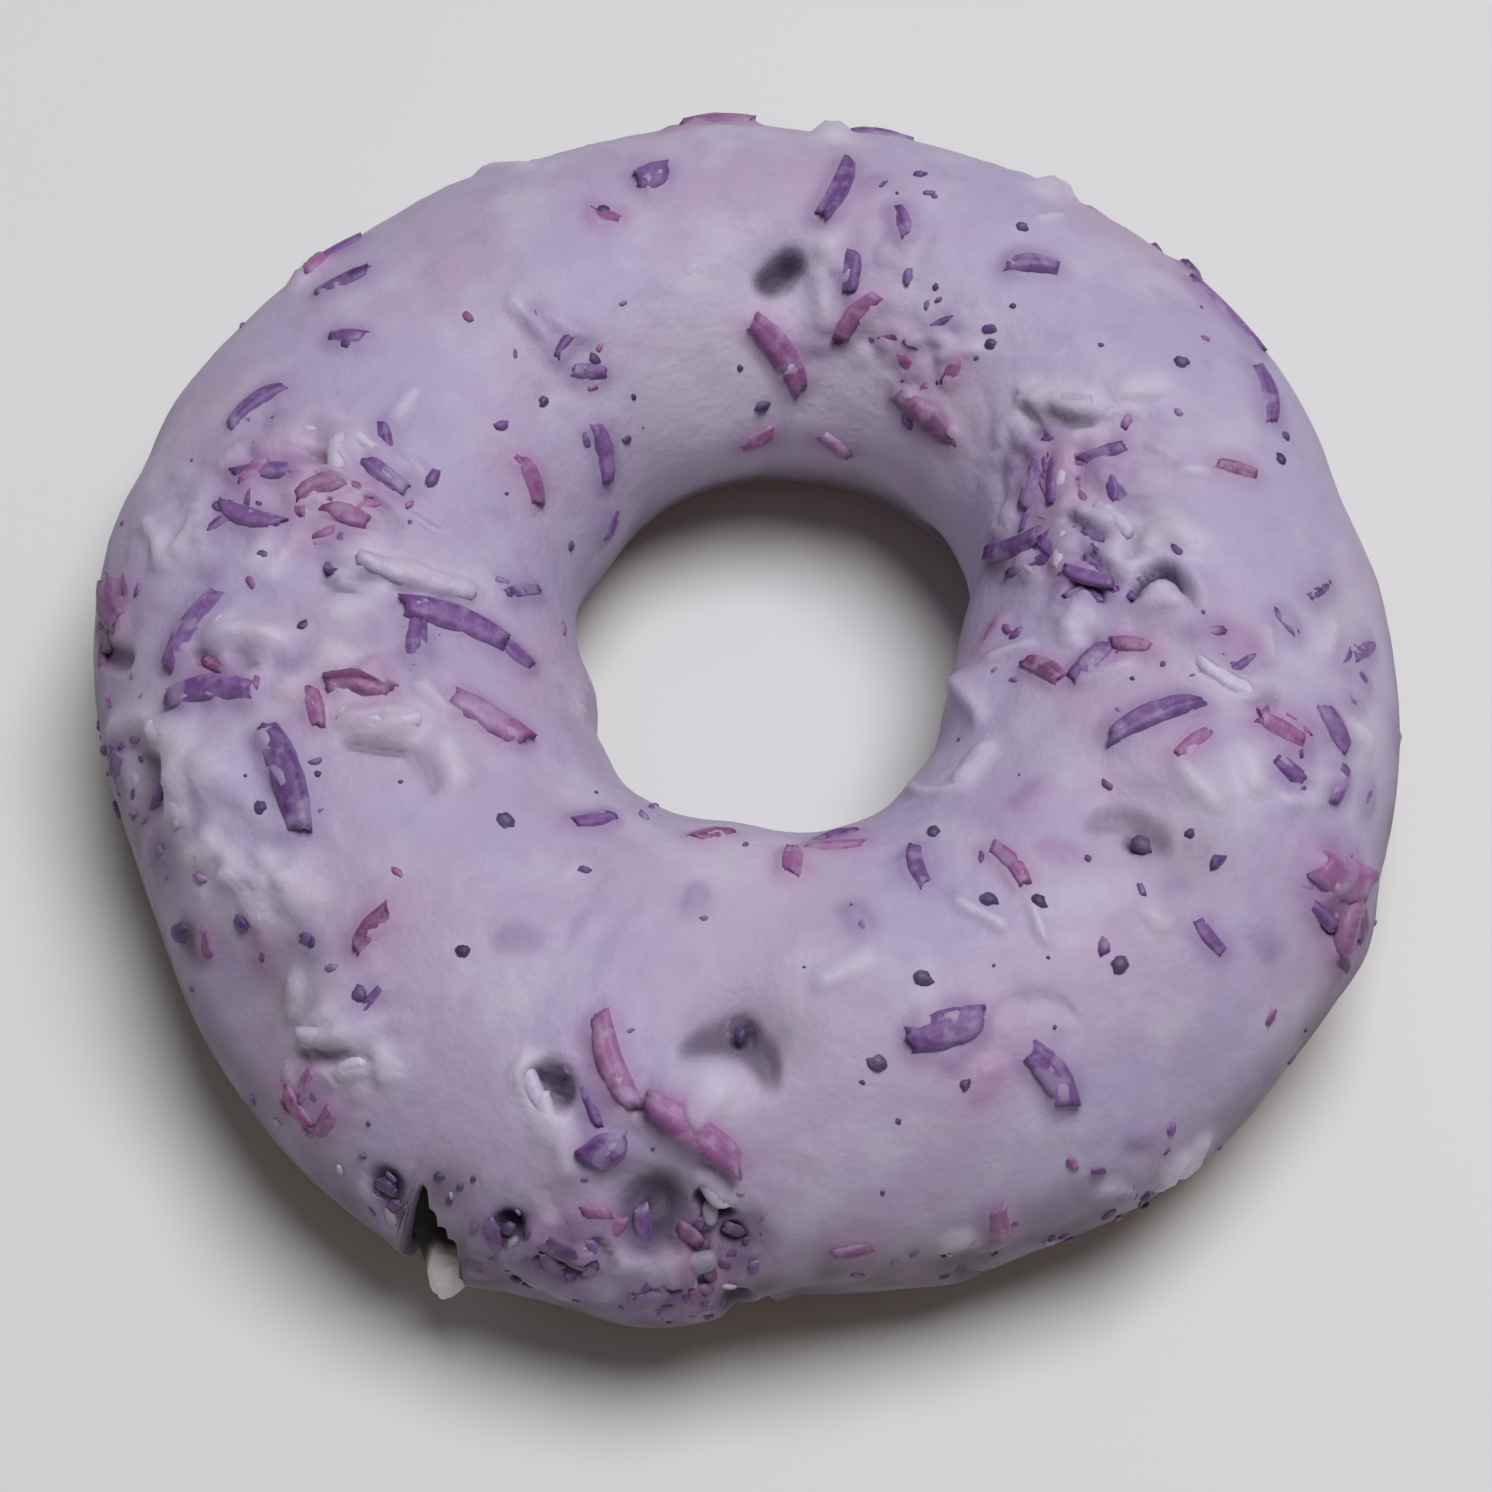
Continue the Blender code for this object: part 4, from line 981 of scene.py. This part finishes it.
def dress():
    """Makes every piece, and returns how far the ring's axis is shifted on the frame."""
    chance = random.Random(CHANCE_SEED)
    coat, out, outside, raised, thin_and_shade = icing_coat("icing_coat")
    curls = lay_curls(coat)
    shards = {colour: scattered(*kind, chance, coat) for colour, kind in SHARDS.items()}
    bits = {
        colour: given_bits(rows, coat, turn_step=67, length=1, width=0.62, smeared=0.4)
        for colour, rows in (("violet", VIOLET_BITS), ("pink", PINK_BITS), ("pale", PALE_BITS))
    }
    for colour, rows in (("violet", VIOLET_SLIVERS), ("pink", PINK_SLIVERS)):
        bits[colour] += [Curl(row, bow=0.05, coat=coat, smeared=0.3) for row in rows]
    crumbs = {colour: scattered(*kind, chance, coat) for colour, kind in CRUMBS.items()}
    specks = given_bits(SPECKS, coat, turn_step=37, length=0.85, width=0.75)
    specks += scattered(*STREWN_SPECKS, chance, coat)
    covered = [Curl(row[:5], row[5], coat) for row in COVERED] + scattered(*STREWN_COVERED, chance, coat)
    creases = [(Curl(row[:5], row[5], coat), row[6]) for row in CREASES]
    for colour, kind in RIM_CRUMBS.items():
        crumbs[colour] = crumbs.get(colour, []) + scattered(*kind, chance, coat, RIM_PATCHES)
    laid = {colour: curls[colour] + shards[colour] + bits[colour] for colour in curls}
    set_in_icing(coat, out, outside, raised, thin_and_shade, laid, covered, creases)

    looks = {
        "violet": curl_material("violet_cocoa_butter_icing", "#573072", "#77498E", "#A98AC2"),
        "pink": curl_material("magenta_cocoa_butter_icing", "#6E3363", "#9A5D95", "#C69AC5"),
        "pale": curl_material("curl_under_icing", "#C6BAD4", "#D0C5DC", "#DED6E8"),
    }
    berry = curl_material("dried_berry_skin", "#3E2F52", "#584670", "#776796", 0.2)
    pieces = []

    def give_look(piece, material, slot):
        piece.data.materials.append(material)
        pieces.append((piece, slot))

    for colour, lying in laid.items():
        shapes = (COATED, COATED) if colour == "pale" else (ROLLED, BROKEN)
        give_look(curls_piece(f"{colour}_curls", lying, *shapes, chance), looks[colour], f"{colour}_curls")
    for colour, lying in crumbs.items():
        piece = curls_piece(f"{colour}_crumbs", lying, CRUMB, CRUMB, chance)
        give_look(piece, looks[colour], f"{colour}_curls")
    give_look(curls_piece("berry_specks", specks, SPECK, SPECK, chance), berry, "violet_curls")
    give_look(coat, lilac_icing_material(), "lilac_icing")
    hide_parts("icing")
    dough = dough_ring("dough_ring")
    give_look(dough, fried_dough_material(), "fried_dough")
    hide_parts("dough")

    shift = place_on_frame([piece for piece, _ in pieces], dough)
    for piece, slot in pieces:
        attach(piece, "root")
    return shift


def place_on_frame(pieces, dough):
    """Moves everything from the ring's own axis to where the frame has it, and returns that shift."""
    low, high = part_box("dough")
    corners = points_of(dough)
    own = (corners.min(axis=0) + corners.max(axis=0)) / 2
    middle = (np.array(low) + np.array(high)) / 2
    shift = Vector((middle[0] - own[0], middle[1] - own[1], 0))
    for piece in pieces:
        move_points(piece, points_of(piece) + np.array(shift))
    return shift


# ---------------------------------------------------------------- floor, light and camera

def facing(thing, name, place, target):
    """Puts a lamp or a camera at a place, turned towards its target."""
    holder = bpy.data.objects.new(name, thing)
    holder.location = place
    holder.rotation_euler = (target - place).to_track_quat("-Z", "Y").to_euler()
    bpy.context.scene.collection.objects.link(holder)
    return holder


def studio(shift):
    """The floor, the light and the camera, round the doughnut's middle."""
    middle = Vector((shift.x, shift.y, HEIGHT / 2))
    bpy.ops.mesh.primitive_grid_add(x_subdivisions=40, y_subdivisions=40, size=FLOOR_SIDE, location=(0, 0, 0))
    floor = bpy.context.object
    floor.name = "floor"
    floor.data.materials.append(floor_material())

    light = bpy.data.lights.new("skylight", "AREA")
    light.shape = "DISK"
    light.size = SKY_SIZE
    light.energy = SKY_WATTS
    light.color = paint("#FDFCFF")[:3]
    facing(light, "skylight", middle + Vector(SKY_OFFSET), middle)

    world = bpy.data.worlds.new("soft_room")
    world.use_nodes = True
    background = world.node_tree.nodes["Background"]
    background.inputs["Color"].default_value = paint("#F2F3F7")
    background.inputs["Strength"].default_value = ROOM_LIGHT
    bpy.context.scene.world = world
    bpy.context.scene.view_settings.view_transform = "Standard"

    lens = bpy.data.cameras.new("camera")
    lens.sensor_width = SENSOR
    lens.lens = FOCAL_LENGTH * SENSOR / PHOTO_SIDE
    lens.shift_x = -RING_RIGHT_OF_CENTRE / PHOTO_SIDE
    lens.shift_y = -RING_ABOVE_CENTRE / PHOTO_SIDE
    lens.clip_start = 0.01
    lean = np.radians(CAMERA_ELEVATION)
    place = middle + CAMERA_DISTANCE * Vector((0, -np.cos(lean), np.sin(lean)))
    bpy.context.scene.camera = facing(lens, "camera", place, middle)


studio(dress())
